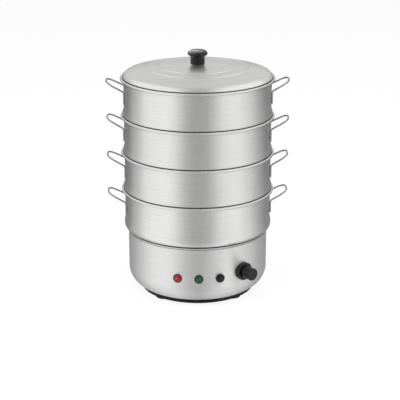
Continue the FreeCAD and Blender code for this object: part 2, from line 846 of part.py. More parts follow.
def make_reset():
    """The sprung reset button, its bezel, the thermal cut-out behind the wall and the spring."""
    rest = sizes.seat_gap + sizes.button_travel
    well_bottom = -1 * sizes.cutout_well_depth
    bezel = new_body("reset_bezel")
    bore = sizes.button_radius + sizes.button_gap
    bezel_top = sizes.seat_gap + sizes.bezel_height
    edge = (sizes.bezel_radius - bore) / 2
    turned(bezel, "bezel", [
        (bore, sizes.seat_gap),
        (sizes.bezel_radius, sizes.seat_gap),
        (sizes.bezel_radius, bezel_top - edge, edge, 1),
        (sizes.bezel_radius - edge, bezel_top),
        (bore, bezel_top),
    ])
    node(on_drum(bezel, button_azimuth, lamp_height), "reset_bezel")

    cutout = new_body("thermal_cutout")
    back = -1 * sizes.cutout_depth
    body_front = inner_face - sizes.seat_gap
    block = outline(cutout, "block_outline", rectangle(sizes.cutout_width, sizes.cutout_width), "XY_Plane", back)
    pushed(cutout, "block", block, body_front - back)
    neck = disc(cutout, "neck_outline", sizes.lamp_barrel, offset=back)
    pushed(cutout, "neck", neck, sizes.seat_gap - back)
    drilled(cutout, "well", sizes.cutout_well, 2 * sizes.cutout_well_depth, 0, 0, well_bottom)
    drilled(cutout, "stem_bore", sizes.button_stem + sizes.button_gap, sizes.cutout_well_depth * 2, 0, 0,
            well_bottom - sizes.button_travel * 4)
    for level in (-1, 1):
        corners = rectangle(sizes.blade_width, sizes.blade_sheet, 0, level * sizes.cutout_width / 4)
        sketch = outline(cutout, "blade_outline", corners, "XY_Plane", back - sizes.blade_length)
        pushed(cutout, "blade", sketch, sizes.blade_length)
    node(on_drum(cutout, button_azimuth, lamp_height), "thermal_cutout")

    button = new_body("reset_button")
    head_top = rest + sizes.button_height
    crown = sizes.button_crown
    curve = (sizes.button_radius * sizes.button_radius + crown * crown) / (2 * crown)
    stem_end = well_bottom - sizes.button_travel
    turned(button, "button", [
        (0, stem_end),
        (sizes.button_stem, stem_end),
        (sizes.button_stem, rest),
        (sizes.button_radius, rest),
        (sizes.button_radius, head_top, curve, 1),
        (0, head_top + crown),
    ])
    node(on_drum(button, button_azimuth, lamp_height), "reset_button")

    wire = sizes.spring_wire.number
    start = well_bottom.number + wire
    length = rest.number - wire - start
    path = Part.makeHelix(length / sizes.spring_turns.number, length, sizes.spring_radius.number)
    direction = Vector(0, sizes.spring_radius.number * 2 * math.pi, length / sizes.spring_turns.number)
    edge = Part.makeCircle(wire, Vector(sizes.spring_radius.number, 0, 0), direction)
    corners = edge.discretize(SPRING_WIRE_SIDES + 1)
    coil = Part.Wire(path.Edges).makePipeShell([Part.makePolygon(corners)], True, True)
    coil.translate(Vector(0, 0, start))
    spring = doc.addObject("Part::Feature", "one_spring")
    spring.Shape = coil
    node(on_drum(copy_of([spring], "reset_spring"), button_azimuth, lamp_height), "reset_spring")


# Thermostat

def flat_shaft(clearance):
    """The outline of a round shaft with one flat."""
    radius = sizes.shaft_radius + clearance
    level = sizes.shaft_flat + clearance
    half = root(radius * radius - level * level)
    return [
        (-half, level, radius, 1),
        (0, -radius, radius, 1),
        (half, level),
    ]


def make_thermostat():
    """The control knob on its shaft, and the thermostat behind the wall with its screws."""
    knob = new_body("thermostat_knob")
    bottom = sizes.skirt_lift
    top = sizes.knob_projection
    skirt_top = bottom + sizes.skirt_depth
    grip_top = sizes.grip_radius - sizes.grip_taper
    edge = sizes.skirt_round
    turned(knob, "moulding", [
        (0, bottom),
        (sizes.skirt_radius, bottom),
        (sizes.skirt_radius, skirt_top - edge, edge, 1),
        (sizes.skirt_radius - edge, skirt_top),
        (sizes.grip_radius, skirt_top),
        (grip_top, top - edge / 2, edge / 2, 1),
        (grip_top - edge / 2, top),
        (0, top),
    ])
    cavity = sizes.skirt_radius - sizes.skirt_wall
    hollow = disc(knob, "hollow_outline", cavity, offset=bottom)
    cavity_depth = sizes.panel_screw_head_height + sizes.skirt_lift * 2
    hollowed = pushed(knob, "hollow", hollow, cavity_depth, cut=True)
    hollowed.Reversed = True
    flute_line = sizes.grip_radius + sizes.flute_radius - sizes.flute_depth
    flute = disc(knob, "flute_outline", sizes.flute_radius, flute_line, 0, offset=top + 1)
    groove = pushed(knob, "flute", flute, sizes.knob_projection - sizes.skirt_depth - sizes.skirt_lift, cut=True)
    ringed(knob, groove, int(sizes.flute_count.number), "flutes")
    shaft_top = bottom + cavity_depth + sizes.shaft_engagement
    bore = outline(knob, "bore_outline", flat_shaft(sizes.shaft_clearance), "XY_Plane", shaft_top)
    pushed(knob, "bore", bore, sizes.shaft_engagement + sizes.skirt_depth, cut=True)
    node(on_drum(knob, sizes.knob_azimuth, knob_height), "thermostat_knob")

    shaft = new_body("thermostat_shaft")
    shaft_low = inner_face - sizes.seat_gap - sizes.thermostat_depth / 3
    pushed(shaft, "round", disc(shaft, "round_outline", sizes.shaft_radius, offset=shaft_low), -shaft_low)
    flat = outline(shaft, "flat_outline", flat_shaft(as_size(0)), "XY_Plane", 0)
    pushed(shaft, "flat", flat, shaft_top - sizes.seat_gap)
    node(on_drum(shaft, sizes.knob_azimuth, knob_height), "thermostat_shaft")

    case = new_body("thermostat_body")
    front = inner_face - 2 * sizes.seat_gap - sizes.sheet
    back = front - sizes.thermostat_depth
    block = rectangle(sizes.thermostat_width, sizes.thermostat_tall)
    pushed(case, "block", outline(case, "block_outline", block, "XY_Plane", back), sizes.thermostat_depth)
    pushed(case, "bushing", disc(case, "bushing_outline", sizes.bushing_radius, offset=front), sizes.sheet - front)
    drilled(case, "shaft_bore", sizes.shaft_radius + sizes.shaft_clearance, -shaft_low + sizes.sheet * 3, 0, 0,
            shaft_low - sizes.sheet)
    for side in (-1, 1):
        drilled(case, "screw_bore", sizes.panel_screw_radius + sizes.shaft_clearance, sizes.thermostat_depth,
                side * sizes.thermostat_screw_pitch / 2, 0, front - sizes.thermostat_depth / 2)
    for level in (-1, 0, 1):
        corners = rectangle(sizes.blade_width, sizes.blade_sheet, 0, level * sizes.thermostat_tall / 4)
        sketch = outline(case, "blade_outline", corners, "XY_Plane", back - sizes.blade_length)
        pushed(case, "blade", sketch, sizes.blade_length)
    node(on_drum(case, sizes.knob_azimuth, knob_height), "thermostat_body")

    screw = new_body("one_panel_screw")
    turned(screw, "screw", [
        (0, -sizes.thermostat_depth / 2),
        (sizes.panel_screw_radius, -sizes.thermostat_depth / 2),
        (sizes.panel_screw_radius, 0),
        (sizes.panel_screw_head, 0),
        (sizes.panel_screw_head, sizes.panel_screw_head_height),
        (0, sizes.panel_screw_head_height),
    ])
    copies = []
    for side in (-1, 1):
        item = copy_of([screw], "thermostat_screw")
        copies.append(radial(item, sizes.knob_azimuth, knob_height, as_size(0),
                             side * sizes.thermostat_screw_pitch / 2))
    node(copy_of(copies, "thermostat_screws"), "thermostat_screws")


def make_sensor():
    """The sensing bulb under the pan, its two clips and the capillary to the thermostat."""
    level = pan_underside - sizes.sensor_radius - sizes.seam_gap
    bulb_y = as_size(-20)
    bulb = new_body("sensor_bulb")
    sketch = disc(bulb, "rim", sizes.sensor_radius, 0, 0, "YZ_Plane", -sizes.sensor_length / 2)
    pushed(bulb, "bulb", sketch, sizes.sensor_length)
    node(place(bulb, 0, bulb_y, level), "sensor_bulb")

    clips = new_body("sensor_clips", several=True)
    reach = sizes.sensor_radius + sizes.seam_gap
    wrap = reach + sizes.blade_sheet
    for side in (-1, 1):
        place_x = side * sizes.sensor_length / 4 - sizes.blade_width / 2
        sketch = outline(clips, "clip_outline", [
            (-2 * wrap, reach - sizes.blade_sheet),
            (-wrap, reach - sizes.blade_sheet),
            (-wrap, 0, wrap, 1),
            (0, -wrap, wrap, 1),
            (wrap, 0),
            (wrap, reach - sizes.blade_sheet),
            (2 * wrap, reach - sizes.blade_sheet),
            (2 * wrap, reach),
            (reach, reach),
            (reach, 0, reach, -1),
            (0, -reach, reach, -1),
            (-reach, 0),
            (-reach, reach),
            (-2 * wrap, reach),
        ], "YZ_Plane", place_x)
        pushed(clips, "clip", sketch, sizes.blade_width)
    node(place(clips, 0, bulb_y, level), "sensor_clips")

    turn = facing(sizes.knob_azimuth.number)
    outward = turn.multVec(UP)
    back = inner_face - 2 * sizes.seat_gap - sizes.sheet - sizes.thermostat_depth
    start_level = knob_height.number + sizes.thermostat_tall.number / 3
    start = outward * (base_radius + back).number + Vector(0, 0, start_level)
    end = Vector(sizes.sensor_length.number / 2, bulb_y.number, level.number)
    points = [
        start,
        start - outward * 22,
        end + Vector(26, -14, 0),
        end + Vector(12, 0, 0),
        end,
    ]
    capillary = swept("capillary_tube", rounded_path(points, [10, 10, 6]), sizes.capillary_radius.number)
    node(capillary, "capillary_tube")


# Power inlet at the back

def make_inlet():
    """The saddle bezel that fits the round wall, the inlet with its recess, and its pins and screws."""
    saddle = new_body("inlet_bezel")
    wide = sizes.inlet_flange_width + 2 * sizes.bezel_border
    tall = sizes.inlet_flange_tall + 2 * sizes.bezel_border
    depth = 2 * sizes.bezel_stand
    block = outline(saddle, "block_outline", rectangle(wide, tall), "XY_Plane", -depth)
    pushed(saddle, "block", block, depth + sizes.bezel_stand)
    drum = drilled(saddle, "drum_face", base_radius + sizes.shaft_clearance, 2 * tall, 0, tall,
                   -base_radius, FreeCAD.Rotation(Vector(1, 0, 0), 90))
    drum.Refine = False
    gap = sizes.hole_clearance
    window = rectangle(sizes.inlet_barrel_width + 2 * gap, sizes.inlet_barrel_tall + 2 * gap)
    pushed(saddle, "window", outline(saddle, "window_outline", window, "XY_Plane", 2 * sizes.bezel_stand),
           4 * sizes.bezel_stand, cut=True)
    for side in (-1, 1):
        drilled(saddle, "screw_hole", sizes.panel_screw_radius + gap, 4 * depth,
                side * sizes.inlet_screw_pitch / 2, 0, -2 * depth)
    node(on_drum(saddle, inlet_azimuth, inlet_height), "inlet_bezel")

    inlet = new_body("power_inlet")
    face = sizes.bezel_stand
    front = face + sizes.inlet_flange
    back = -1 * sizes.inlet_depth
    flange = outline(inlet, "flange_outline", rectangle(sizes.inlet_flange_width, sizes.inlet_flange_tall),
                     "XY_Plane", face)
    pushed(inlet, "flange", flange, sizes.inlet_flange)
    barrel = rectangle(sizes.inlet_barrel_width, sizes.inlet_barrel_tall)
    pushed(inlet, "barrel", outline(inlet, "barrel_outline", barrel, "XY_Plane", back), face - back)
    hollow_wide = sizes.inlet_barrel_width - 2 * sizes.inlet_wall
    hollow_tall = sizes.inlet_barrel_tall - 2 * sizes.inlet_wall
    hollow = outline(inlet, "recess_outline", rectangle(hollow_wide, hollow_tall), "XY_Plane", front)
    pushed(inlet, "recess", hollow, sizes.inlet_recess, cut=True)
    for x, y in pin_spots():
        corners = rectangle(sizes.pin_sheet + 2 * sizes.seam_gap, sizes.pin_width + 2 * sizes.seam_gap, x, y)
        slot = outline(inlet, "pin_slot_outline", corners, "XY_Plane", front)
        pushed(inlet, "pin_slot", slot, sizes.inlet_depth * 2, cut=True)
    for side in (-1, 1):
        drilled(inlet, "screw_hole", sizes.panel_screw_radius + gap, 4 * sizes.inlet_flange,
                side * sizes.inlet_screw_pitch / 2, 0, face - sizes.inlet_flange)
    node(on_drum(inlet, inlet_azimuth, inlet_height), "power_inlet")

    pins = new_body("inlet_pins", several=True)
    recess_floor = front - sizes.inlet_recess
    for x, y in pin_spots():
        corners = rectangle(sizes.pin_sheet, sizes.pin_width, x, y)
        sketch = outline(pins, "pin_outline", corners, "XY_Plane", back - sizes.blade_length)
        pushed(pins, "pin", sketch, recess_floor + sizes.pin_length - back + sizes.blade_length)
    node(on_drum(pins, inlet_azimuth, inlet_height), "inlet_pins")

    screw = new_body("one_inlet_screw")
    screw_end = -3 * sizes.inlet_flange
    turned(screw, "screw", [
        (0, screw_end),
        (sizes.panel_screw_radius, screw_end),
        (sizes.panel_screw_radius, front),
        (sizes.panel_screw_head, front),
        (sizes.panel_screw_head, front + sizes.panel_screw_head_height),
        (0, front + sizes.panel_screw_head_height),
    ])
    nut = new_body("one_inlet_nut")
    half_span = sizes.inlet_screw_pitch / 2 + sizes.inlet_nut_width
    sag = inner_base_radius - root(inner_base_radius * inner_base_radius - half_span * half_span)
    nut_face = inner_face - sag
    pushed(nut, "nut", outline(nut, "flats", hexagon(sizes.inlet_nut_width + 1), "XY_Plane",
                               nut_face - sizes.foot_nut_height), sizes.foot_nut_height)
    drilled(nut, "thread", sizes.panel_screw_radius + sizes.shaft_clearance, 4 * sizes.foot_nut_height, 0, 0,
            nut_face - 2 * sizes.foot_nut_height)
    for master, label in ((screw, "inlet_screws"), (nut, "inlet_nuts")):
        copies = []
        for side in (-1, 1):
            item = copy_of([master], label + "_one")
            copies.append(radial(item, inlet_azimuth, inlet_height, as_size(0),
                                 side * sizes.inlet_screw_pitch / 2))
        node(copy_of(copies, label), label)


def pin_spots():
    """The centres of the two line pins and the earth pin in the inlet."""
    side = sizes.pin_spacing / 2
    return [(-side, sizes.pin_drop / 2), (side, sizes.pin_drop / 2), (as_size(0), -sizes.pin_drop / 2)]


# Wiring

def make_wiring():
    """The four-way terminal block on the bottom cover and the leads between the electrical parts."""
    block = new_body("terminal_block")
    shape = rectangle(sizes.block_width, sizes.block_depth)
    pushed(block, "block", outline(block, "block_outline", shape, "XY_Plane", 0), sizes.block_height)
    ways = [index * sizes.block_width / 8 for index in (-3, -1, 1, 3)]
    for x in ways:
        drilled(block, "wire_way", sizes.lead_radius * 1.6, sizes.block_depth * 2, x, -sizes.block_depth,
                sizes.block_height / 2, FreeCAD.Rotation(Vector(1, 0, 0), -90))
    node(place(block, 0, sizes.block_setback, shell_bottom), "terminal_block")

    way_level = (shell_bottom + sizes.block_height / 2).number
    insertion = 4
    rear = (sizes.block_setback + sizes.block_depth / 2).number - insertion
    front = (sizes.block_setback - sizes.block_depth / 2).number + insertion
    far_left, left, right, far_right = [x.number for x in ways]
    gap = 2 * sizes.seam_gap
    blade_end = sizes.blade_length + gap
    pin_back = (base_radius - sizes.inlet_depth - blade_end).number
    pin_x = sizes.pin_spacing.number / 2
    pin_level = (inlet_height + sizes.pin_drop / 2).number
    earth_level = (inlet_height - sizes.pin_drop / 2).number
    heater_end = (pan_underside - sizes.heater_leg - sizes.heater_pin_length - gap).number
    heater_x, heater_y = leg_x.number, leg_y.number
    thermostat_back = 2 * sizes.seat_gap + sizes.seat_gap + 2 * sizes.sheet + sizes.thermostat_depth + blade_end
    control = Spoke(sizes.knob_azimuth, base_radius - thermostat_back, knob_height)
    cutout = Spoke(button_azimuth, base_radius - sizes.cutout_depth - blade_end, lamp_height)
    red = Spoke(lamp_azimuths["red_lamp"], base_radius - sizes.lamp_depth - blade_end, lamp_height)
    green = Spoke(lamp_azimuths["green_lamp"], base_radius - sizes.lamp_depth - blade_end, lamp_height)
    low_blade = -sizes.thermostat_tall.number / 4
    cutout_blade = sizes.cutout_width.number / 4
    lamp_blade = sizes.lamp_barrel.number / 2
    bend = 92
    routes = {
        "live": [
            (-pin_x, pin_back, pin_level),
            (-pin_x, bend, pin_level),
            (far_left, bend, way_level),
            (far_left, rear, way_level),
        ],
        "earth": [
            (0, pin_back, earth_level),
            (0, bend - 1, earth_level),
            (left, bend - 1, way_level),
            (left, rear, way_level),
        ],
        "neutral": [
            (pin_x, pin_back, pin_level),
            (pin_x, bend, pin_level),
            (far_right, bend, way_level),
            (far_right, rear, way_level),
        ],
        "block_to_thermostat": [
            (far_right, front, way_level),
            (far_right, 10, way_level),
            control.at(40, 0, low_blade),
            control.at(0, 0, low_blade),
        ],
        "thermostat_to_heater": [
            control.at(0, 0, 0),
            control.at(40, 0, 0),
            (heater_x, heater_y, 45),
            (heater_x, heater_y, heater_end),
        ],
        "heater_to_block": [
            (-heater_x, heater_y, heater_end),
            (-heater_x, heater_y, 46),
            (left, 16, 46),
            (left, 16, way_level),
            (left, front, way_level),
        ],
        "block_to_cutout": [
            (right, front, way_level),
            (right, 18, way_level),
            cutout.at(40, 0, -cutout_blade),
            cutout.at(0, 0, -cutout_blade),
        ],
        "cutout_to_green_lamp": [
            cutout.at(0, 0, cutout_blade),
            cutout.at(25, 0, cutout_blade),
            green.at(26, lamp_blade, 0),
            green.at(0, lamp_blade, 0),
        ],
        "green_lamp_to_red_lamp": [
            green.at(0, -lamp_blade, 0),
            green.at(26, -lamp_blade, 0),
            red.at(26, lamp_blade, 0),
            red.at(0, lamp_blade, 0),
        ],
        "red_lamp_to_block": [
            red.at(0, -lamp_blade, 0),
            red.at(32, -lamp_blade, 0),
            (far_left, 12, way_level),
            (far_left, front, way_level),
        ],
    }
    shapes = []
    for name, route in routes.items():
        points = [Vector(*point) for point in route]
        radii = bend_radii(points)
        print("lead", name, "bend radii", [round(radius, 1) for radius in radii])
        shapes.append(swept("lead_" + name, rounded_path(points, radii), sizes.lead_radius.number))
    node(copy_of(shapes, "internal_leads"), "internal_leads")


class Spoke:
    """A line that runs from a control on the drum's wall straight in towards the middle."""

    def __init__(self, azimuth, radius, level):
        turn = facing(azimuth.number)
        self.out = turn.multVec(UP)
        self.across = turn.multVec(Vector(1, 0, 0))
        self.radius = radius.number
        self.level = level.number

    def at(self, inward, sideways, up):
        spot = self.out * (self.radius - inward) + self.across * sideways
        return spot.x, spot.y, self.level + up


def bend_radii(points):
    """For each inner point, the largest bend that the two runs beside it allow."""
    runs = [after - before for before, after in zip(points, points[1:])]
    shares = [0.75] + [0.48] * (len(runs) - 2) + [0.75]
    radii = []
    for index in range(len(runs) - 1):
        room = min(runs[index].Length * shares[index], runs[index + 1].Length * shares[index + 1])
        radii.append(room / math.tan(runs[index].getAngle(runs[index + 1]) / 2))
    return radii


# Tiers

def make_tier_wall():
    """One tier's wall: spigot and ledge, nesting corner, swage, straight wall, flare and rolled bead."""
    body = new_body("one_tier_wall")
    skin = sizes.sheet
    wall = sizes.wall_radius
    corner = sizes.corner_radius
    bottom = -1 * sizes.nest_depth
    spigot_bottom = bottom - sizes.spigot_depth
    swage_top = corner_level + sizes.swage_height
    blend_top = swage_top + sizes.swage_blend
    rim = sizes.tier_pitch
    flare = corner + sizes.nest_gap
    outer_flare = flare + skin
    flare_level = rim + corner_level
    bead = sizes.bead_radius
    bead_level = rim - bead
    drop = flare_level - bead_level
    apart = flare + bead
    bead_x = corner_centre + root(apart * apart - drop * drop)
    touch_x = corner_centre + (bead_x - corner_centre) * flare / apart
    touch_z = flare_level - drop * flare / apart
    inner_wall = wall - skin
    inner_reach = inner_wall - corner_centre
    outer_reach = wall - corner_centre
    bead_bottom = bead_level - bead
    low_drop = flare_level - bead_bottom
    turned(body, "wall", [
        (spigot_radius - sizes.ledge_width, spigot_bottom),
        (spigot_radius, spigot_bottom),
        (spigot_radius, bottom),
        (corner_centre, bottom, corner, 1),
        (corner_edge, corner_level),
        (corner_edge, swage_top),
        (wall, blend_top),
        (wall, flare_level - root(outer_flare * outer_flare - outer_reach * outer_reach), outer_flare, 1),
        (corner_centre + root(outer_flare * outer_flare - low_drop * low_drop), bead_bottom),
        (bead_x, bead_bottom, bead, 1),
        (bead_x + bead, bead_level, bead, 1),
        (bead_x, rim, bead, 1),
        (touch_x, touch_z, flare, -1),
        (inner_wall, flare_level - root(flare * flare - inner_reach * inner_reach)),
        (inner_wall, blend_top),
        (corner_edge - skin, swage_top),
        (corner_edge - skin, corner_level, corner - skin, -1),
        (corner_centre, bottom + skin),
        (spigot_radius - skin, bottom + skin),
        (spigot_radius - skin, spigot_bottom + skin),
        (spigot_radius - sizes.ledge_width, spigot_bottom + skin),
    ])
    return body


def make_tier_floor():
    """One tier's punched floor, which lies on the wall's ledge."""
    body = new_body("one_tier_floor")
    level = sizes.sheet - sizes.nest_depth - sizes.spigot_depth
    pushed(body, "plate", disc(body, "rim", floor_radius, offset=level), sizes.sheet)
    top = level + sizes.sheet + 1
    through = 3 * sizes.sheet
    pushed(body, "centre_hole", disc(body, "centre_outline", sizes.hole_radius, offset=top), through, cut=True)
    rings = int((floor_radius - sizes.floor_margin).number / sizes.hole_step.number)
    for ring in range(1, rings + 1):
        hole = disc(body, "hole_outline", sizes.hole_radius, ring * sizes.hole_step, offset=top)
        punched = pushed(body, "hole", hole, through, cut=True)
        ringed(body, punched, 6 * ring, "hole_ring")
    return body


def make_handle():
    """One wire handle: two tails welded down the wall, legs that rise outwards and a rounded loop."""
    gap = sizes.shaft_clearance.number
    wire = sizes.wire_radius.number
    half = sizes.handle_spread.number / 2
    tip_half = sizes.handle_tip_width.number / 2
    wall = sizes.wall_radius.number
    seat = wall + wire + gap
    foot_x = math.sqrt(seat * seat - half * half)
    tip_x = wall + sizes.handle_reach.number - wire
    foot_z = (sizes.tier_pitch - sizes.handle_drop).number
    tip_z = foot_z + (tip_x - foot_x) * math.tan(math.radians(sizes.handle_tilt.number))
    tail_z = foot_z - sizes.handle_tail.number
    points = []
    for side in (-1, 1):
        ends = [
            Vector(foot_x, side * half, tail_z),
            Vector(foot_x, side * half, foot_z),
            Vector(tip_x, side * tip_half, tip_z),
        ]
        points += ends if side < 0 else ends[::-1]
    foot_bend = sizes.handle_foot_bend.number
    tip_bend = sizes.handle_tip_bend.number
    path = rounded_path(points, [foot_bend, tip_bend, tip_bend, foot_bend])
    return swept("one_handle", path, wire)


def make_tiers():
    """Four tiers, counted from the top, each turned a little as a stack on a table is."""
    wall = make_tier_wall()
    floor = make_tier_floor()
    handle = make_handle()
    for number, turn in TIER_TURNS.items():
        level = lowest_plane + (4 - number) * sizes.tier_pitch
        name = "tier_{}_".format(number)
        for piece, master in (("wall", wall), ("floor", floor)):
            item = copy_of([master], name + piece)
            node(place(item, 0, 0, level, FreeCAD.Rotation(UP, turn)), name + piece)
        for piece, azimuth in (("right_handle", 0), ("left_handle", 180)):
            item = copy_of([handle], name + piece)
            node(place(item, 0, 0, level, FreeCAD.Rotation(UP, turn + azimuth)), name + piece)


# Lid

def dome_level(radius):
    """The height of the lid's outer dome above the top rim, at a radius."""
    rise = sizes.lid_crown - sizes.lid_shoulder_rise - corner_level
    reach = corner_edge - sizes.lid_shoulder_inset
    curve = (reach * reach + rise * rise) / (2 * rise)
    return sizes.lid_crown - curve + root(curve * curve - radius * radius), curve


def make_lid():
    """The spun lid: locating skirt, nesting corner, rounded shoulder and a dome with two embossed rings."""
    shell = new_body("lid_shell")
    skin = sizes.sheet
    skirt = sizes.wall_radius - sizes.sheet - sizes.lid_skirt_clearance
    skirt_bottom = -1 * sizes.lid_skirt_depth
    corner = sizes.corner_radius
    outer_reach = skirt - corner_centre
    inner_reach = outer_reach - skin
    shoulder_x = corner_edge - sizes.lid_shoulder_inset
    shoulder_z = corner_level + sizes.lid_shoulder_rise
    shoulder = sizes.lid_shoulder_radius
    curve = dome_level(shoulder_x)[1]
    half = sizes.emboss_width / 2
    bump = (half * half + sizes.emboss_height * sizes.emboss_height) / (2 * sizes.emboss_height)
    stations = []
    for ring in (sizes.emboss_outer_radius, sizes.emboss_inner_radius):
        stations += [(ring + half, bump), (ring - half, curve)]
    bore = sizes.lid_bolt_radius + sizes.hole_clearance
    outer = [(shoulder_x, shoulder_z, curve, 1)]
    outer += [(x, dome_level(x)[0], radius, 1) for x, radius in stations]
    centre = [(bore, dome_level(bore)[0]), (bore, dome_level(bore)[0] - skin, curve, -1)]
    inner = []
    for x, radius in stations[::-1]:
        following = bump if radius is curve else curve
        inner.append((x, dome_level(x)[0] - skin, following, -1))
    turned(shell, "shell", [
        (skirt, skirt_bottom),
        (skirt, corner_level - root(corner * corner - outer_reach * outer_reach), corner, 1),
        (corner_edge, corner_level, shoulder, 1),
        *outer,
        *centre,
        *inner,
        (shoulder_x, shoulder_z - skin, shoulder - skin, -1),
        (corner_edge - skin, corner_level, corner - skin, -1),
        (skirt - skin, corner_level - root((corner - skin) * (corner - skin) - inner_reach * inner_reach)),
        (skirt - skin, skirt_bottom),
    ])
    node(place(shell, 0, 0, top_rim), "lid_shell")

    knob = new_body("lid_knob")
    foot = sizes.lid_crown + sizes.shaft_clearance
    neck = foot + sizes.stem_height
    widest = neck + sizes.cap_flare_height
    top = widest + sizes.cap_height
    cap = sizes.cap_radius
    rise, reach = sizes.cap_crown, sizes.cap_top_radius
    crown_curve = (reach * reach + rise * rise) / (2 * rise)
    thread = sizes.lid_bolt_radius + sizes.shaft_clearance
    turned(knob, "knob", [
        (thread, foot),
        (sizes.stem_radius, foot),
        (sizes.stem_radius, neck, sizes.neck_round, -1),
        (cap - sizes.cap_edge_inset, widest - sizes.cap_edge_drop, sizes.cap_edge_round, 1),
        (cap, widest - sizes.cap_edge_lift, sizes.cap_round, 1),
        (reach, top - rise, crown_curve, 1),
        (0, top),
        (0, foot + sizes.lid_bolt_grip),
        (thread, foot + sizes.lid_bolt_grip),
    ])
    node(place(knob, 0, 0, top_rim), "lid_knob")

    under = dome_level(bore)[0] - skin
    washer = new_body("lid_washer")
    ring = sizes.lid_washer_radius
    washer_top = dome_level(ring)[0] - skin
    turned(washer, "washer", [
        (bore, washer_top - sizes.lid_washer),
        (ring, washer_top - sizes.lid_washer),
        (ring, washer_top),
        (bore, washer_top),
    ])
    node(place(washer, 0, 0, top_rim), "lid_washer")
    bolt = new_body("lid_bolt")
    head_top = washer_top - sizes.lid_washer
    turned(bolt, "bolt", [
        (0, head_top - sizes.lid_bolt_head),
        (sizes.lid_bolt_head_radius, head_top - sizes.lid_bolt_head),
        (sizes.lid_bolt_head_radius, head_top),
        (sizes.lid_bolt_radius, head_top),
        (sizes.lid_bolt_radius, under + sizes.lid_bolt_grip),
        (0, under + sizes.lid_bolt_grip),
    ])
    node(place(bolt, 0, 0, top_rim), "lid_bolt")


def check_document():
    """Stop if any object failed or any sub-part has no valid shape."""
    for item in doc.Objects:
        if "Invalid" in item.State or "Error" in item.State:
            raise ValueError(item.Label + " failed: " + str(item.State))
    for item in nodes:
        shape = item.Shape
        if shape.isNull() or not shape.isValid() or not shape.Solids:
            raise ValueError(item.Label + " has no valid solid")


def write_steps():
    os.makedirs("parts", exist_ok=True)
    for item in nodes:
        item.Shape.exportStep("parts/" + item.Label + ".step")
        print(item.Label, len(item.Shape.Solids), "solids", round(item.Shape.Volume))


make_base_shell()
make_water_pan()
make_bottom_cover()
make_feet()
make_heater()
make_lamps()
make_reset()
make_thermostat()
make_sensor()
make_inlet()
make_wiring()
make_tiers()
make_lid()
doc.recompute()
check_document()
write_steps()
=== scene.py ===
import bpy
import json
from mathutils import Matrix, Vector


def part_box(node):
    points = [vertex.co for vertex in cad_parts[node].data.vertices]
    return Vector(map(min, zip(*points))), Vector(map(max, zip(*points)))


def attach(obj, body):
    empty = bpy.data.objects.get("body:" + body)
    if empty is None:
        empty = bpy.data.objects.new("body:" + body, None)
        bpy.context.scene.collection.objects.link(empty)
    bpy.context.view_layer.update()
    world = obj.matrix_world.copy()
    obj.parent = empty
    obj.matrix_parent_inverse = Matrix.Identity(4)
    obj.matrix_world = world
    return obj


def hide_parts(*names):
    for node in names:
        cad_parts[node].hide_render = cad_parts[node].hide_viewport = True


bl_info = {
    "name": "Stacked Dumpling Steamer",
    "version": (1, 0, 0),
    "blender": (4, 5, 0),
    "location": "View3D > Sidebar > Steamer",
    "description": "Finishes, small formed details, light and camera for an electric stacked dumpling steamer",
    "category": "Object",
}

import bpy
import bmesh
import json
import math
from bpy.props import FloatProperty, IntProperty, PointerProperty, StringProperty
from mathutils import Vector

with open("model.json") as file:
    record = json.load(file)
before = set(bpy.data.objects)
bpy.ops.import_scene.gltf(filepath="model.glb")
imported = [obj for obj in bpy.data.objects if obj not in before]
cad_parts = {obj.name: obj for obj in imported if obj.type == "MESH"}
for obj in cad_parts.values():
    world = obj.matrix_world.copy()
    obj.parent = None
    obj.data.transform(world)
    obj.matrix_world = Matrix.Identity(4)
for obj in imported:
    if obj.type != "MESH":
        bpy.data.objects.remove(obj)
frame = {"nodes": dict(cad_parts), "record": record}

MM = 0.001
TIERS = (1, 2, 3, 4)
SIDES = ("right", "left")
PHOTO_SIZE = 400
MOULDINGS = "black_mouldings"

# Corners of a solid's triangles that are closer than this are one corner.
MERGE_DISTANCE = 0.004 * MM
# Edges that turn by more than so many degrees stay sharp, for each kind of piece.
SHEET_CREASE = 25
FLOOR_CREASE = 30
PART_CREASE = 35
INNER_CREASE = 40
WIRE_CREASE = 60

# The rings of the spun metal, and the dull grey bands of painted shade on it for the shadow in the gap at a seat
# and in the crease under a rim's bead: half their height at a seat and under a rim's bead, how dark the second kind
# is next to the first, and how far below the rim it lies.
RING_PITCH = 1.6 * MM
RING_DEPTH = 0.02 * MM
PAINTED_SHADE = "4A4A48"
PAINTED_SHADE_ROUGHNESS = 0.2
SEAT_SHADE_BAND = 2.4 * MM
CURL_SHADE_BAND = 0.9 * MM
CURL_SHADE_WEIGHT = 0.85
BEAD_HEIGHT = 5.2 * MM

# A noise texture spends nearly all of its range between these values.
NOISE_LOW = 0.35
NOISE_HIGH = 0.65

# Where a lens's colour starts and stops to change, in shares of its radius, and how close its moulded rings are.
LENS_RIM = 0.9
LENS_MIDDLE = 0.45
LENS_RINGS = 130.0

WELD_RADIUS = 2.2 * MM
WELD_FLATNESS = 0.45


# Small helpers for names, colours and meshes

def linear(text):
    """A colour written as sRGB hex, as the linear values that shaders use."""
    values = [int(text[index:index + 2], 16) / 255 for index in (0, 2, 4)]
    return [value / 12.92 if value <= 0.04045 else ((value + 0.055) / 1.055) ** 2.4 for value in values] + [1.0]


def node_object(name):
    return frame["nodes"][name]


def body_of_node(name):
    """The body that a CAD node moves with."""
    for body, members in frame["record"]["behaviour"]["bodies"].items():
        if name in members:
            return body
    raise KeyError(name)


def wear(obj, material):
    """Give an object one material."""
    obj.data.materials.clear()
    obj.data.materials.append(material)


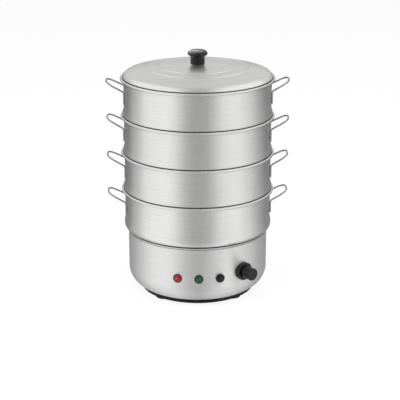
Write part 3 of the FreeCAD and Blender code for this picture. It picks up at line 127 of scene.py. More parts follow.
def smooth_copy(name, material, crease):
    """A merged copy of a solid whose curved faces shade smoothly, in place of the solid's loose triangles."""
    source = node_object(name)
    mesh = source.data.copy()
    mesh.name = name + "_finished"
    shape = bmesh.new()
    shape.from_mesh(mesh)
    bmesh.ops.remove_doubles(shape, verts=shape.verts, dist=MERGE_DISTANCE)
    shape.to_mesh(mesh)
    shape.free()
    if "custom_normal" in mesh.attributes:
        mesh.attributes.remove(mesh.attributes["custom_normal"])
    mesh.shade_smooth()
    mesh.set_sharp_from_angle(angle=math.radians(crease))
    piece = bpy.data.objects.new(name + "_finished", mesh)
    bpy.context.scene.collection.objects.link(piece)
    wear(piece, material)
    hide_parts(name)
    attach(piece, body_of_node(name))
    return piece


# Node materials

def new_material(name):
    """An empty node material with its output and principled shader."""
    material = bpy.data.materials.new(name)
    material.use_nodes = True
    tree = material.node_tree
    tree.nodes.clear()
    output = tree.nodes.new("ShaderNodeOutputMaterial")
    shader = tree.nodes.new("ShaderNodeBsdfPrincipled")
    tree.links.new(shader.outputs[0], output.inputs["Surface"])
    return material, tree, shader


def add_node(tree, kind, settings=None, inputs=None):
    """Add a node, set its properties, and set or link its inputs."""
    item = tree.nodes.new(kind)
    for key, value in (settings or {}).items():
        setattr(item, key, value)
    for key, value in (inputs or {}).items():
        if isinstance(value, bpy.types.NodeSocket):
            tree.links.new(value, item.inputs[key])
        else:
            item.inputs[key].default_value = value
    return item


def math_node(tree, operation, first, second=0.0):
    return add_node(tree, "ShaderNodeMath", {"operation": operation}, {0: first, 1: second}).outputs[0]


def object_point(tree):
    """The position on the object in metres, as separate x, y and z."""
    point = add_node(tree, "ShaderNodeTexCoord").outputs["Object"]
    split = add_node(tree, "ShaderNodeSeparateXYZ", inputs={0: point})
    return point, split.outputs


def turning_lines(tree, pitch, drift):
    """Noise drawn out around the Z axis: the lines that a spinning tool or belt leaves on a round wall."""
    point, (x, y, z) = object_point(tree)
    across = math_node(tree, "SQRT", math_node(tree, "ADD", math_node(tree, "MULTIPLY", x, x),
                                                math_node(tree, "MULTIPLY", y, y)))
    angle = math_node(tree, "ARCTAN2", y, x)
    vector = add_node(tree, "ShaderNodeCombineXYZ", inputs={
        0: math_node(tree, "MULTIPLY", angle, drift),
        1: math_node(tree, "DIVIDE", z, pitch),
        2: math_node(tree, "DIVIDE", across, pitch),
    })
    noise = add_node(tree, "ShaderNodeTexNoise", inputs={
        "Vector": vector.outputs[0], "Scale": 1.0, "Detail": 3.0, "Roughness": 0.6})
    return noise.outputs["Fac"], point


def levels(tree, value, low, high, first, last):
    """Turn a value between low and high into a number between first and last."""
    return add_node(tree, "ShaderNodeMapRange", inputs={
        "Value": value, "From Min": low, "From Max": high, "To Min": first, "To Max": last}).outputs[0]


def spread(tree, noise, dark, light):
    """Turn noise into a colour between two that are given as sRGB hex."""
    share = levels(tree, noise, NOISE_LOW, NOISE_HIGH, 0.0, 1.0)
    return add_node(tree, "ShaderNodeMix", {"data_type": "RGBA"}, {
        0: share, 6: linear(dark), 7: linear(light)}).outputs[2]


def bumped(tree, shader, height, distance, strength=1.0):
    bump = add_node(tree, "ShaderNodeBump", inputs={
        "Height": height, "Distance": distance, "Strength": strength})
    tree.links.new(bump.outputs[0], shader.inputs["Normal"])


def spun_aluminium(name, dark, light, roughness, cut=0.25, seats=(), curl=None):
    """Aluminium drawn and then belt-polished on a lathe: soft reflections, smeared across fine rings.

    Where one rim seats in another, and where a rim's rolled bead tucks its edge in, the gap falls in shadow, so
    the metal has a narrow dark band of painted shade at each of those levels.
    """
    material, tree, shader = new_material(name)
    lines, point = turning_lines(tree, RING_PITCH, 2.0)
    patches = add_node(tree, "ShaderNodeTexNoise", inputs={"Vector": point, "Scale": 14.0, "Detail": 2.0})
    blend = math_node(tree, "ADD", math_node(tree, "MULTIPLY", lines, 0.75),
                      math_node(tree, "MULTIPLY", patches.outputs["Fac"], 0.25))
    colour = spread(tree, blend, dark, light)
    rough = levels(tree, blend, NOISE_LOW, NOISE_HIGH, roughness + 0.03, roughness - 0.03)
    # Painted shade: a dark grey, rougher band at each seat and under the bead, in place of the shadow in the gap.
    if seats:
        height = object_point(tree)[1][2]
        bands = [(level, SEAT_SHADE_BAND, 1.0) for level in seats]
        if curl is not None:
            bands.append((curl, CURL_SHADE_BAND, CURL_SHADE_WEIGHT))
        shade_share = 0.0
        for level, half, weight in bands:
            away = math_node(tree, "ABSOLUTE", math_node(tree, "SUBTRACT", height, level))
            shade_share = math_node(tree, "MAXIMUM", shade_share, levels(tree, away, half, 0.35 * half, 0.0, weight))
        shaded = add_node(tree, "ShaderNodeMix", {"data_type": "RGBA"}, {0: shade_share, 6: colour, 7: linear(PAINTED_SHADE)})
        colour = shaded.outputs[2]
        rough = math_node(tree, "ADD", rough, math_node(tree, "MULTIPLY", shade_share, PAINTED_SHADE_ROUGHNESS))
    tree.links.new(colour, shader.inputs["Base Color"])
    tree.links.new(rough, shader.inputs["Roughness"])
    shader.inputs["Metallic"].default_value = 1.0
    shader.inputs["Anisotropic"].default_value = 0.75
    shader.inputs["Anisotropic Rotation"].default_value = 0.25
    tangent = add_node(tree, "ShaderNodeTangent", {"direction_type": "RADIAL", "axis": "Z"})
    tree.links.new(tangent.outputs[0], shader.inputs["Tangent"])
    bumped(tree, shader, lines, RING_DEPTH, cut)
    return material


def rolled_aluminium(name, dark, light):
    """Mill-finished sheet, as punched for the floors: straight, faint lines the way it was rolled."""
    material, tree, shader = new_material(name)
    x, y, z = object_point(tree)[1]
    vector = add_node(tree, "ShaderNodeCombineXYZ", inputs={
        0: math_node(tree, "MULTIPLY", x, 6.0), 1: math_node(tree, "DIVIDE", y, 1.2 * MM), 2: z})
    lines = add_node(tree, "ShaderNodeTexNoise", inputs={"Vector": vector.outputs[0], "Scale": 1.0, "Detail": 3.0})
    colour = spread(tree, lines.outputs["Fac"], dark, light)
    tree.links.new(colour, shader.inputs["Base Color"])
    shader.inputs["Metallic"].default_value = 1.0
    shader.inputs["Roughness"].default_value = 0.38
    bumped(tree, shader, lines.outputs["Fac"], RING_DEPTH, 0.5)
    return material


def drawn_metal(name, dark, light, roughness, grain=1.0):
    """Wire, tube or small turned metal: a bright skin with faint mottling from drawing or plating."""
    material, tree, shader = new_material(name)
    point = object_point(tree)[0]
    mottle = add_node(tree, "ShaderNodeTexNoise", inputs={"Vector": point, "Scale": 350.0 * grain, "Detail": 3.0})
    colour = spread(tree, mottle.outputs["Fac"], dark, light)
    tree.links.new(colour, shader.inputs["Base Color"])
    tree.links.new(levels(tree, mottle.outputs["Fac"], 0.3, 0.7, roughness + 0.06, roughness - 0.04),
                   shader.inputs["Roughness"])
    shader.inputs["Metallic"].default_value = 1.0
    bumped(tree, shader, mottle.outputs["Fac"], 0.01 * MM, 0.5)
    return material


def moulded(name, dark, light, roughness, grain, depth, specular=0.5):
    """A moulded or painted skin: even colour and fine grain, with a gloss that varies a little."""
    material, tree, shader = new_material(name)
    point = object_point(tree)[0]
    fine = add_node(tree, "ShaderNodeTexNoise", inputs={"Vector": point, "Scale": 1.0 / grain, "Detail": 2.0})
    broad = add_node(tree, "ShaderNodeTexNoise", inputs={"Vector": point, "Scale": 60.0, "Detail": 2.0})
    tree.links.new(spread(tree, broad.outputs["Fac"], dark, light), shader.inputs["Base Color"])
    tree.links.new(levels(tree, broad.outputs["Fac"], 0.3, 0.7, roughness - 0.04, roughness + 0.05),
                   shader.inputs["Roughness"])
    shader.inputs["IOR"].default_value = 1.5
    shader.inputs["Specular IOR Level"].default_value = specular
    bumped(tree, shader, fine.outputs["Fac"], depth)
    return material


def lamp_lens(name, rim, centre, axis_point, radius, glow):
    """Tinted polycarbonate: deep colour at the thick rim and a lighter, faintly lit middle."""
    material, tree, shader = new_material(name)
    point = object_point(tree)[0]
    away = add_node(tree, "ShaderNodeVectorMath", {"operation": "DISTANCE"}, {0: point, 1: axis_point})
    inward = levels(tree, away.outputs["Value"], LENS_RIM * radius, LENS_MIDDLE * radius, 0.0, 1.0)
    colour = add_node(tree, "ShaderNodeMix", {"data_type": "RGBA"}, {0: inward, 6: linear(rim), 7: linear(centre)})
    tree.links.new(colour.outputs[2], shader.inputs["Base Color"])
    tree.links.new(colour.outputs[2], shader.inputs["Emission Color"])
    shader.inputs["Emission Strength"].default_value = glow
    shader.inputs["Roughness"].default_value = 0.18
    shader.inputs["IOR"].default_value = 1.58
    shader.inputs["Specular IOR Level"].default_value = 0.35
    rings = add_node(tree, "ShaderNodeTexWave", {"wave_type": "RINGS", "rings_direction": "SPHERICAL"}, {
        "Vector": add_node(tree, "ShaderNodeVectorMath", {"operation": "SUBTRACT"},
                           {0: point, 1: axis_point}).outputs[0],
        "Scale": LENS_RINGS})
    bumped(tree, shader, rings.outputs["Fac"], 0.08 * MM, 0.5)
    return material


# Settings a user would change

class SteamerFinish(bpy.types.PropertyGroup):
    wall_dark: StringProperty(name="Wall, dark lines", description="sRGB hex of the tier walls' darker lines",
                              default="E7E7E6")
    wall_light: StringProperty(name="Wall, light lines", description="sRGB hex of the tier walls' lighter lines",
                               default="F0F0EF")
    wall_roughness: FloatProperty(name="Wall roughness", description="How soft the walls' reflections are",
                                  default=0.34, min=0.05, max=0.9)
    plastic_dark: StringProperty(name="Plastic", description="sRGB hex of the black mouldings", default="0A0A0A")
    red_centre: StringProperty(name="Red lens", description="sRGB hex of the red lens's middle", default="A0201A")
    green_centre: StringProperty(name="Green lens", description="sRGB hex of the green lens's middle",
                                 default="1A4436")


class SteamerDetails(bpy.types.PropertyGroup):
    weld_size: FloatProperty(name="Weld size", description="Radius of a spot weld on a handle's tail",
                             default=WELD_RADIUS, min=0.0005, unit="LENGTH")
    welds_per_tail: IntProperty(name="Welds per tail", description="Spot welds up each tail", default=2, min=1)
    first_weld: FloatProperty(name="First weld", description="Height of the lowest weld above the tail's end",
                              default=4 * MM, unit="LENGTH")
    weld_pitch: FloatProperty(name="Weld pitch", description="Distance from one weld up to the next",
                              default=12 * MM, unit="LENGTH")
    weld_sink: FloatProperty(name="Weld sink", description="How far in from the wire's axis a weld sits",
                             default=1.2 * MM, unit="LENGTH")


class SteamerStage(bpy.types.PropertyGroup):
    camera_distance: FloatProperty(name="Distance", description="Camera to the stack's axis, along the floor",
                                   default=2.505, unit="LENGTH")
    camera_height: FloatProperty(name="Height", description="Camera above the table", default=1.008, unit="LENGTH")
    camera_tilt: FloatProperty(name="Tilt", description="How far the camera looks down", subtype="ANGLE",
                               default=math.radians(18.16))
    camera_azimuth: FloatProperty(name="Azimuth", description="Camera's turn around the stack from the front",
                                  subtype="ANGLE", default=math.radians(-1.0))
    focal_pixels: FloatProperty(name="Focal length", description="In pixels of the square picture", default=1266.0)
    axis_offset: FloatProperty(name="Axis offset", description="How far left of centre the stack stands, in pixels",
                               default=2.4)


CLASSES = [SteamerFinish, SteamerDetails, SteamerStage]


def operator(cls):
    CLASSES.append(cls)
    return cls


# The metal pieces

@operator
class STEAMER_OT_finish_metal(bpy.types.Operator):
    """Finish the drum, the pan, the tiers and the lid in spun aluminium"""
    bl_idname = "steamer.finish_metal"
    bl_label = "Finish the metal"

    def execute(self, context):
        look = context.scene.steamer_finish
        rims = {number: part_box("tier_%d_wall" % number)[1][2] for number in TIERS}
        inside = spun_aluminium("spun_aluminium_inside", "B4B4B3", "C6C6C5", 0.42)
        sheet = rolled_aluminium("rolled_aluminium_sheet", "B8B8B7", "CACAC9")
        # The drum, the lid and each tier get a band of painted shade where one piece seats in another, and the drum
        # and tiers another under their own bead.
        drum_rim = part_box("base_shell")[1][2]
        drum = spun_aluminium("spun_aluminium_drum", "EAEAE9", "F2F2F1", look.wall_roughness + 0.16, 0.07,
                              [drum_rim], drum_rim - BEAD_HEIGHT)
        smooth_copy("base_shell", drum, SHEET_CREASE)
        lid = spun_aluminium("spun_aluminium_lid", look.wall_dark, look.wall_light, look.wall_roughness - 0.05, 0.06,
                             [rims[1]])
        smooth_copy("lid_shell", lid, SHEET_CREASE)
        for number in TIERS:
            seat = rims.get(number + 1, drum_rim)
            wall = spun_aluminium("spun_aluminium_tier_%d" % number, look.wall_dark, look.wall_light,
                                  look.wall_roughness, 0.07, [seat], rims[number] - BEAD_HEIGHT)
            smooth_copy("tier_%d_wall" % number, wall, SHEET_CREASE)
        smooth_copy("water_pan", inside, SHEET_CREASE)
        for number in TIERS:
            smooth_copy("tier_%d_floor" % number, sheet, FLOOR_CREASE)
        return {"FINISHED"}


@operator
class STEAMER_OT_finish_handles(bpy.types.Operator):
    """Finish the wire handles"""
    bl_idname = "steamer.finish_handles"
    bl_label = "Finish the handles"

    def execute(self, context):
        wire = drawn_metal("drawn_stainless_wire", "A2A2A2", "BDBDBD", 0.22)
        for number in TIERS:
            for side in SIDES:
                smooth_copy("tier_%d_%s_handle" % (number, side), wire, WIRE_CREASE)
        return {"FINISHED"}


# Spot welds on the handles' tails

def tail_points(name):
    """The axis of each of a handle's two tails, as its x, y and lowest z, found from the wire's own mesh."""
    source = node_object(name)
    spots = [source.matrix_world @ vertex.co for vertex in source.data.vertices]
    lowest = min(spot.z for spot in spots)
    ends = [spot for spot in spots if spot.z < lowest + 1.0 * MM]
    middle = sum(ends, Vector()) / len(ends)
    along = Vector((-middle.y, middle.x, 0))
    tails = []
    for sign in (-1, 1):
        group = [spot for spot in ends if (spot - middle).dot(along) * sign > 0]
        axis = sum(group, Vector()) / len(group)
        tails.append(Vector((axis.x, axis.y, lowest)))
    return tails


def weld_tree(material):
    """Geometry nodes that put a flattened bead of metal on every point, turned to face away from the Z axis."""
    tree = bpy.data.node_groups.new("spot_welds", "GeometryNodeTree")
    face = tree.interface
    face.new_socket("Geometry", in_out="INPUT", socket_type="NodeSocketGeometry")
    for name, value in (("Radius", WELD_RADIUS), ("Flatness", WELD_FLATNESS)):
        socket = face.new_socket(name, in_out="INPUT", socket_type="NodeSocketFloat")
        socket.default_value = value
    face.new_socket("Geometry", in_out="OUTPUT", socket_type="NodeSocketGeometry")
    entry = add_node(tree, "NodeGroupInput").outputs
    position = add_node(tree, "GeometryNodeInputPosition").outputs[0]
    level = add_node(tree, "ShaderNodeVectorMath", {"operation": "MULTIPLY"}, {0: position, 1: (1, 1, 0)})
    turn = add_node(tree, "FunctionNodeAlignRotationToVector", {"axis": "X"}, {"Vector": level.outputs[0]})
    bead = add_node(tree, "GeometryNodeMeshUVSphere", inputs={"Segments": 12, "Rings": 8, "Radius": entry["Radius"]})
    squash = add_node(tree, "ShaderNodeCombineXYZ", inputs={0: entry["Flatness"], 1: 1.0, 2: 1.2})
    spread_out = add_node(tree, "GeometryNodeInstanceOnPoints", inputs={
        "Points": entry["Geometry"], "Instance": bead.outputs["Mesh"], "Rotation": turn.outputs[0],
        "Scale": squash.outputs[0]})
    plain = add_node(tree, "GeometryNodeRealizeInstances", inputs={0: spread_out.outputs[0]})
    smooth = add_node(tree, "GeometryNodeSetShadeSmooth", inputs={0: plain.outputs[0]})
    dressed = add_node(tree, "GeometryNodeSetMaterial", inputs={0: smooth.outputs[0], "Material": material})
    leave = add_node(tree, "NodeGroupOutput")
    tree.links.new(dressed.outputs[0], leave.inputs[0])
    return tree


def grown(name, points, tree, values):
    """Run a node tree on loose points and keep the result as a plain mesh object."""
    seed = bpy.data.meshes.new(name + "_points")
    seed.from_pydata(points, [], [])
    holder = bpy.data.objects.new(name + "_holder", seed)
    bpy.context.scene.collection.objects.link(holder)
    modifier = holder.modifiers.new("grow", "NODES")
    modifier.node_group = tree
    for item in tree.interface.items_tree:
        if item.item_type == "SOCKET" and item.in_out == "INPUT" and item.name in values:
            modifier[item.identifier] = values[item.name]
    holder.update_tag()
    graph = bpy.context.evaluated_depsgraph_get()
    mesh = bpy.data.meshes.new_from_object(holder.evaluated_get(graph), depsgraph=graph)
    if not mesh.polygons:
        raise RuntimeError(name + " came out empty")
    mesh.name = name
    bpy.data.objects.remove(holder)
    bpy.data.meshes.remove(seed)
    piece = bpy.data.objects.new(name, mesh)
    bpy.context.scene.collection.objects.link(piece)
    return piece


@operator
class STEAMER_OT_add_welds(bpy.types.Operator):
    """Add the spot welds that hold each handle's tails to its tier"""
    bl_idname = "steamer.add_welds"
    bl_label = "Add the welds"

    def execute(self, context):
        details = context.scene.steamer_details
        tree = weld_tree(drawn_metal("weld_metal", "8E8E8E", "A6A6A6", 0.4))
        for number in TIERS:
            points = []
            for side in SIDES:
                for tail in tail_points("tier_%d_%s_handle" % (number, side)):
                    across = math.hypot(tail.x, tail.y)
                    inward = (across - details.weld_sink) / across
                    for index in range(details.welds_per_tail):
                        rise = details.first_weld + index * details.weld_pitch
                        points.append((tail.x * inward, tail.y * inward, tail.z + rise))
            welds = grown("tier_%d_welds" % number, points, tree, {"Radius": details.weld_size})
            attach(welds, "tier_%d" % number)
        return {"FINISHED"}


# Controls

@operator
class STEAMER_OT_finish_controls(bpy.types.Operator):
    """Finish the knobs, the reset button, the lamps and the power inlet"""
    bl_idname = "steamer.finish_controls"
    bl_label = "Finish the controls"

    def execute(self, context):
        look = context.scene.steamer_finish
        phenolic = moulded("phenolic_moulding", look.plastic_dark, "121212", 0.2, 0.5 * MM, 0.002 * MM, 0.4)
        lit = bpy.data.collections.new(MOULDINGS)
        for name in ("thermostat_knob", "reset_button", "reset_bezel", "lid_knob", "inlet_bezel", "power_inlet"):
            lit.objects.link(smooth_copy(name, phenolic, PART_CREASE))
        for name, rim, centre, glow in (("red_lamp", "3C0E12", look.red_centre, 0.1),
                                        ("green_lamp", "0C1E18", look.green_centre, 0.02)):
            low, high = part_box(name + "_lens")
            middle = [(low[index] + high[index]) / 2 for index in range(3)]
            radius = (high[2] - low[2]) / 2
            lens = lamp_lens(name + "_polycarbonate", rim, centre, middle, radius, glow)
            smooth_copy(name + "_lens", lens, PART_CREASE)
        return {"FINISHED"}


@operator
class STEAMER_OT_finish_underside(bpy.types.Operator):
    """Finish the bottom cover, the feet and the fasteners"""
    bl_idname = "steamer.finish_underside"
    bl_label = "Finish the underside"

    def execute(self, context):
        paint = moulded("stoved_black_paint", "0C0C0C", "161616", 0.3, 1.2 * MM, 0.01 * MM, 0.2)
        rubber = moulded("moulded_rubber", "181818", "202020", 0.75, 0.3 * MM, 0.03 * MM)
        zinc = drawn_metal("zinc_plating", "8F9294", "B0B3B4", 0.32)
        smooth_copy("bottom_cover", paint, PART_CREASE)
        smooth_copy("feet", rubber, PART_CREASE)
        for name in ("foot_bolts", "foot_nuts", "thermostat_screws", "thermostat_shaft", "inlet_screws",
                     "inlet_nuts", "lid_bolt", "lid_washer", "sensor_clips", "heater_pins", "reset_spring",
                     "thermostat_body"):
            smooth_copy(name, zinc, PART_CREASE)
        return {"FINISHED"}


@operator
class STEAMER_OT_finish_inside(bpy.types.Operator):
    """Finish the heater, the sensor, the lamp holders, the cut-out and the wiring"""
    bl_idname = "steamer.finish_inside"
    bl_label = "Finish the inside"

    def execute(self, context):
        sheath = drawn_metal("annealed_stainless_sheath", "6E6A64", "8C8882", 0.4, 0.2)
        copper = drawn_metal("bright_copper", "A8603C", "C47C54", 0.25)
        brass = drawn_metal("bright_brass", "A88240", "C8A25C", 0.25)
        nylon = moulded("natural_nylon", "D4D2C8", "E0DED6", 0.45, 0.4 * MM, 0.02 * MM)
        silicone = moulded("red_silicone", "7E2C1C", "943A28", 0.6, 0.4 * MM, 0.03 * MM)
        black = moulded("phenolic_case", "161616", "222222", 0.4, 0.5 * MM, 0.02 * MM)
        insulation = moulded("silicone_insulation", "B8B6AC", "C8C6BC", 0.55, 0.3 * MM, 0.02 * MM)
        glass = moulded("bulb_glass", "C8B8A8", "D8C8B8", 0.1, 0.5 * MM, 0.005 * MM)
        finishes = {
            "heater_element": sheath, "heater_gland_nuts": brass, "heater_gaskets": silicone,
            "sensor_bulb": copper, "capillary_tube": copper, "inlet_pins": brass, "lamp_blades": brass,
            "red_lamp_holder": nylon, "green_lamp_holder": nylon, "lamp_nuts": nylon, "lamp_bulbs": glass,
            "thermal_cutout": black, "terminal_block": nylon, "internal_leads": insulation,
        }
        for name, material in finishes.items():
            smooth_copy(name, material, INNER_CREASE)
        return {"FINISHED"}


# Light, floor and camera

# The brightness that surfaces other than metal get from the room, where 1 is white.
ROOM_LEVEL = 0.75
# Each stop of the tent that metal mirrors: degrees around from the front, and brightness where 1 is white.
TENT_LEVELS = (
    (-180, 0.20), (-138, 0.16), (-112, 0.50), (-84, 0.94), (-46, 1.0), (-33, 0.82), (-20, 0.50), (-6, 0.40),
    (12, 0.42), (22, 0.55), (36, 0.85), (62, 0.95), (84, 0.76), (106, 0.42), (128, 0.20), (180, 0.20),
)
# Heights, as the sine of the angle up, at which the tent's walls give way to its roof, and over how much.
ROOF_BEHIND = -0.18
ROOF_BEFORE = 0.70
ROOF_FADE = 0.4
# The roof is brighter towards both sides, and a little darker straight above.
OVERHEAD_LEVEL = 0.68
OVERHEAD_WINGS = 1.0
OVERHEAD_GAP = 0.12
WING_STARTS, WING_ENDS = 0.20, 0.33
GAP_STARTS, GAP_ENDS = 0.85, 0.98

# The table, of which metal mirrors only the part next to it, and that faintly.
TABLE_HALF = 6.0
FLOOR_GLOW = 0.85
TABLE_MIRRORED = 0.4
TABLE_SHARE = 0.14

# Soft lights: name, degrees around and up, distance, width, height in metres and power in watts.
SOFTBOXES = (
    ("left_softbox", -62, 22, 2.6, 1.1, 2.2, 34),
    ("right_softbox", 60, 22, 2.6, 1.1, 2.2, 30),
    ("top_softbox", 0, 80, 2.4, 2.0, 2.0, 22),
)
LIGHT_AIM = Vector((0, 0, 0.25))
HIGHLIGHT_PLACE = Vector((-0.8, 0.9, 2.4))
HIGHLIGHT_AIM = Vector((0, 0, 0.4))
HIGHLIGHT_SIZE = 4.2
HIGHLIGHT_POWER = 140


@operator
class STEAMER_OT_set_stage(bpy.types.Operator):
    """Set the floor, the room, the soft lights and the camera"""
    bl_idname = "steamer.set_stage"
    bl_label = "Set the stage"

    def execute(self, context):
        self.set_world(context)
        self.lay_floor(context)
        self.hang_lights(context)
        self.place_camera(context)
        context.scene.view_settings.view_transform = "Standard"
        return {"FINISHED"}

    def set_world(self, context):
        """A plain bright room, white where it is looked at, and a tent of soft greys where metal mirrors it."""
        world = bpy.data.worlds.new("studio")
        context.scene.world = world
        world.use_nodes = True
        tree = world.node_tree
        tree.nodes.clear()
        path = add_node(tree, "ShaderNodeLightPath").outputs
        room = add_node(tree, "ShaderNodeBackground", inputs={"Color": linear("FFFFFF"), "Strength": ROOM_LEVEL})
        white = add_node(tree, "ShaderNodeBackground", inputs={"Color": linear("FFFFFF"), "Strength": 1.0})
        tent = add_node(tree, "ShaderNodeBackground", inputs={"Color": self.tent_colour(tree), "Strength": 1.0})
        seen = math_node(tree, "MAXIMUM", path["Is Camera Ray"], path["Is Transmission Ray"])
        plain = add_node(tree, "ShaderNodeMixShader", inputs={0: seen})
        tree.links.new(room.outputs[0], plain.inputs[1])
        tree.links.new(white.outputs[0], plain.inputs[2])
        mirrored = add_node(tree, "ShaderNodeMixShader", inputs={0: path["Is Glossy Ray"]})
        tree.links.new(plain.outputs[0], mirrored.inputs[1])
        tree.links.new(tent.outputs[0], mirrored.inputs[2])
        output = add_node(tree, "ShaderNodeOutputWorld")
        tree.links.new(mirrored.outputs[0], output.inputs["Surface"])

    def tent_colour(self, tree):
        """White cloth at both sides, grey before and behind, and pale cloth overhead with a darker gap."""
        direction = add_node(tree, "ShaderNodeTexCoord").outputs["Generated"]
        x, y, z = add_node(tree, "ShaderNodeSeparateXYZ", inputs={0: direction}).outputs
        turn = math_node(tree, "ARCTAN2", x, math_node(tree, "MULTIPLY", y, -1.0))
        place = math_node(tree, "ADD", math_node(tree, "DIVIDE", turn, 2 * math.pi), 0.5)
        ramp = add_node(tree, "ShaderNodeValToRGB")
        ramp.color_ramp.interpolation = "EASE"
        stops = ramp.color_ramp.elements
        while len(stops) < len(TENT_LEVELS):
            stops.new(0.5)
        for stop, (degrees, level) in zip(stops, TENT_LEVELS):
            stop.position = degrees / 360 + 0.5
            stop.color = (level, level, level, 1.0)
        tree.links.new(place, ramp.inputs[0])
        span = math_node(tree, "SQRT", math_node(tree, "SUBTRACT", 1.0, math_node(tree, "MULTIPLY", z, z)))
        front = math_node(tree, "DIVIDE", math_node(tree, "MULTIPLY", y, -1.0),
                          math_node(tree, "MAXIMUM", span, 0.001))
        start = math_node(tree, "ADD", math_node(tree, "MULTIPLY", front, -ROOF_BEHIND), math_node(
            tree, "MULTIPLY", math_node(tree, "MAXIMUM", front, 0.0), ROOF_BEFORE + ROOF_BEHIND))
        fade = levels(tree, math_node(tree, "SUBTRACT", z, start), 0.0, ROOF_FADE, 0.0, 1.0)
        aside = math_node(tree, "MULTIPLY", math_node(tree, "ABSOLUTE", x), z)
        wings = levels(tree, aside, WING_STARTS, WING_ENDS, OVERHEAD_LEVEL, OVERHEAD_WINGS)
        gap = levels(tree, z, GAP_STARTS, GAP_ENDS, 0.0, OVERHEAD_GAP)
        above = math_node(tree, "SUBTRACT", wings, gap)
        grey = add_node(tree, "ShaderNodeCombineXYZ", inputs={0: above, 1: above, 2: above})
        mix = add_node(tree, "ShaderNodeMix", {"data_type": "RGBA"}, {
            0: fade, 6: ramp.outputs[0], 7: grey.outputs[0]})
        return mix.outputs[2]

    def lay_floor(self, context):
        """A white table, which shows as white and keeps the object's shadow."""
        mesh = bpy.data.meshes.new("table_top")
        corners = [(x * TABLE_HALF, y * TABLE_HALF, 0) for x, y in ((-1, -1), (1, -1), (1, 1), (-1, 1))]
        mesh.from_pydata(corners, [], [(0, 1, 2, 3)])
        floor = bpy.data.objects.new("table_top", mesh)
        context.scene.collection.objects.link(floor)
        material = bpy.data.materials.new("white_table")
        material.use_nodes = True
        tree = material.node_tree
        tree.nodes.clear()
        paint = add_node(tree, "ShaderNodeBsdfDiffuse", inputs={"Color": linear("FCFCFC")})
        glow = add_node(tree, "ShaderNodeEmission", inputs={"Color": linear("FFFFFF"), "Strength": 1.0})
        path = add_node(tree, "ShaderNodeLightPath").outputs
        seen = math_node(tree, "MAXIMUM", path["Is Camera Ray"], path["Is Transmission Ray"])
        share = math_node(tree, "MULTIPLY", seen, FLOOR_GLOW)
        mix = add_node(tree, "ShaderNodeMixShader", inputs={0: share})
        tree.links.new(paint.outputs[0], mix.inputs[1])
        tree.links.new(glow.outputs[0], mix.inputs[2])
        x, y = object_point(tree)[1][:2]
        away = math_node(tree, "SQRT", math_node(tree, "ADD", math_node(tree, "MULTIPLY", x, x),
                                                  math_node(tree, "MULTIPLY", y, y)))
        beyond = levels(tree, away, TABLE_MIRRORED, 2 * TABLE_MIRRORED, 1.0 - TABLE_SHARE, 1.0)
        clear = add_node(tree, "ShaderNodeBsdfTransparent")
        ended = add_node(tree, "ShaderNodeMixShader", inputs={
            0: math_node(tree, "MULTIPLY", path["Is Glossy Ray"], beyond)})
        tree.links.new(mix.outputs[0], ended.inputs[1])
        tree.links.new(clear.outputs[0], ended.inputs[2])
        output = add_node(tree, "ShaderNodeOutputMaterial")
        tree.links.new(ended.outputs[0], output.inputs["Surface"])
        wear(floor, material)

    def hang_lights(self, context):
        """Soft boxes that light the object but aren't mirrored, and a highlight for the black mouldings."""
        for name, azimuth, elevation, distance, width, height, power in SOFTBOXES:
            turn, rise = math.radians(azimuth), math.radians(elevation)
            toward = Vector((math.sin(turn) * math.cos(rise), -math.cos(turn) * math.cos(rise), math.sin(rise)))
            light = self.hang(context, name, LIGHT_AIM + toward * distance, LIGHT_AIM, width, height, power)
            light.visible_glossy = False
        # Plastic mirrors a bright cloth behind and above it, which the metal doesn't see.
        cloth = self.hang(context, "moulding_highlight", HIGHLIGHT_PLACE, HIGHLIGHT_AIM, HIGHLIGHT_SIZE,
                          HIGHLIGHT_SIZE, HIGHLIGHT_POWER)
        cloth.visible_diffuse = False
        cloth.light_linking.receiver_collection = bpy.data.collections[MOULDINGS]

    def hang(self, context, name, place, aim, width, height, power):
        """An area light at a place, turned to face a point."""
        data = bpy.data.lights.new(name, "AREA")
        data.shape = "RECTANGLE"
        data.size = width
        data.size_y = height
        data.energy = power
        light = bpy.data.objects.new(name, data)
        light.location = place
        light.rotation_euler = (aim - place).to_track_quat("-Z", "Y").to_euler()
        light.visible_camera = False
        context.scene.collection.objects.link(light)
        return light

    def place_camera(self, context):
        stage = context.scene.steamer_stage
        data = bpy.data.cameras.new("camera")
        data.sensor_width = 36.0
        data.lens = stage.focal_pixels / PHOTO_SIZE * data.sensor_width
        data.shift_x = stage.axis_offset / PHOTO_SIZE
        camera = bpy.data.objects.new("camera", data)
        turn = stage.camera_azimuth
        camera.location = (math.sin(turn) * stage.camera_distance, -math.cos(turn) * stage.camera_distance,
                           stage.camera_height)
        camera.rotation_euler = (math.pi / 2 - stage.camera_tilt, 0, turn)
        context.scene.collection.objects.link(camera)
        context.scene.camera = camera


class STEAMER_PT_panel(bpy.types.Panel):
    """The steamer's steps, in order"""
    bl_label = "Dumpling steamer"
    bl_space_type = "VIEW_3D"
    bl_region_type = "UI"
    bl_category = "Steamer"

    def draw(self, context):
        layout = self.layout
        for group in (context.scene.steamer_finish, context.scene.steamer_details, context.scene.steamer_stage):
            for name in group.__annotations__:
                layout.prop(group, name)
        for step in STEPS:
            layout.operator(step)


STEPS = [
    "steamer.finish_metal",
    "steamer.finish_handles",
    "steamer.add_welds",
    "steamer.finish_controls",
    "steamer.finish_underside",
    "steamer.finish_inside",
    "steamer.set_stage",
]


def register():
    for cls in CLASSES + [STEAMER_PT_panel]:
        bpy.utils.register_class(cls)
    bpy.types.Scene.steamer_finish = PointerProperty(type=SteamerFinish)
    bpy.types.Scene.steamer_details = PointerProperty(type=SteamerDetails)
    bpy.types.Scene.steamer_stage = PointerProperty(type=SteamerStage)


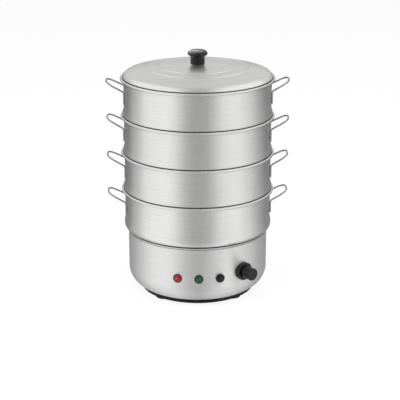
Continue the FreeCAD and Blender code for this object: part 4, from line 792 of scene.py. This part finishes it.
def unregister():
    del bpy.types.Scene.steamer_stage
    del bpy.types.Scene.steamer_details
    del bpy.types.Scene.steamer_finish
    for cls in reversed(CLASSES + [STEAMER_PT_panel]):
        bpy.utils.unregister_class(cls)


def main():
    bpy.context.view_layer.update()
    register()
    for step in STEPS:
        family, name = step.split(".")
        getattr(getattr(bpy.ops, family), name)()


if __name__ == "__main__":
    main()
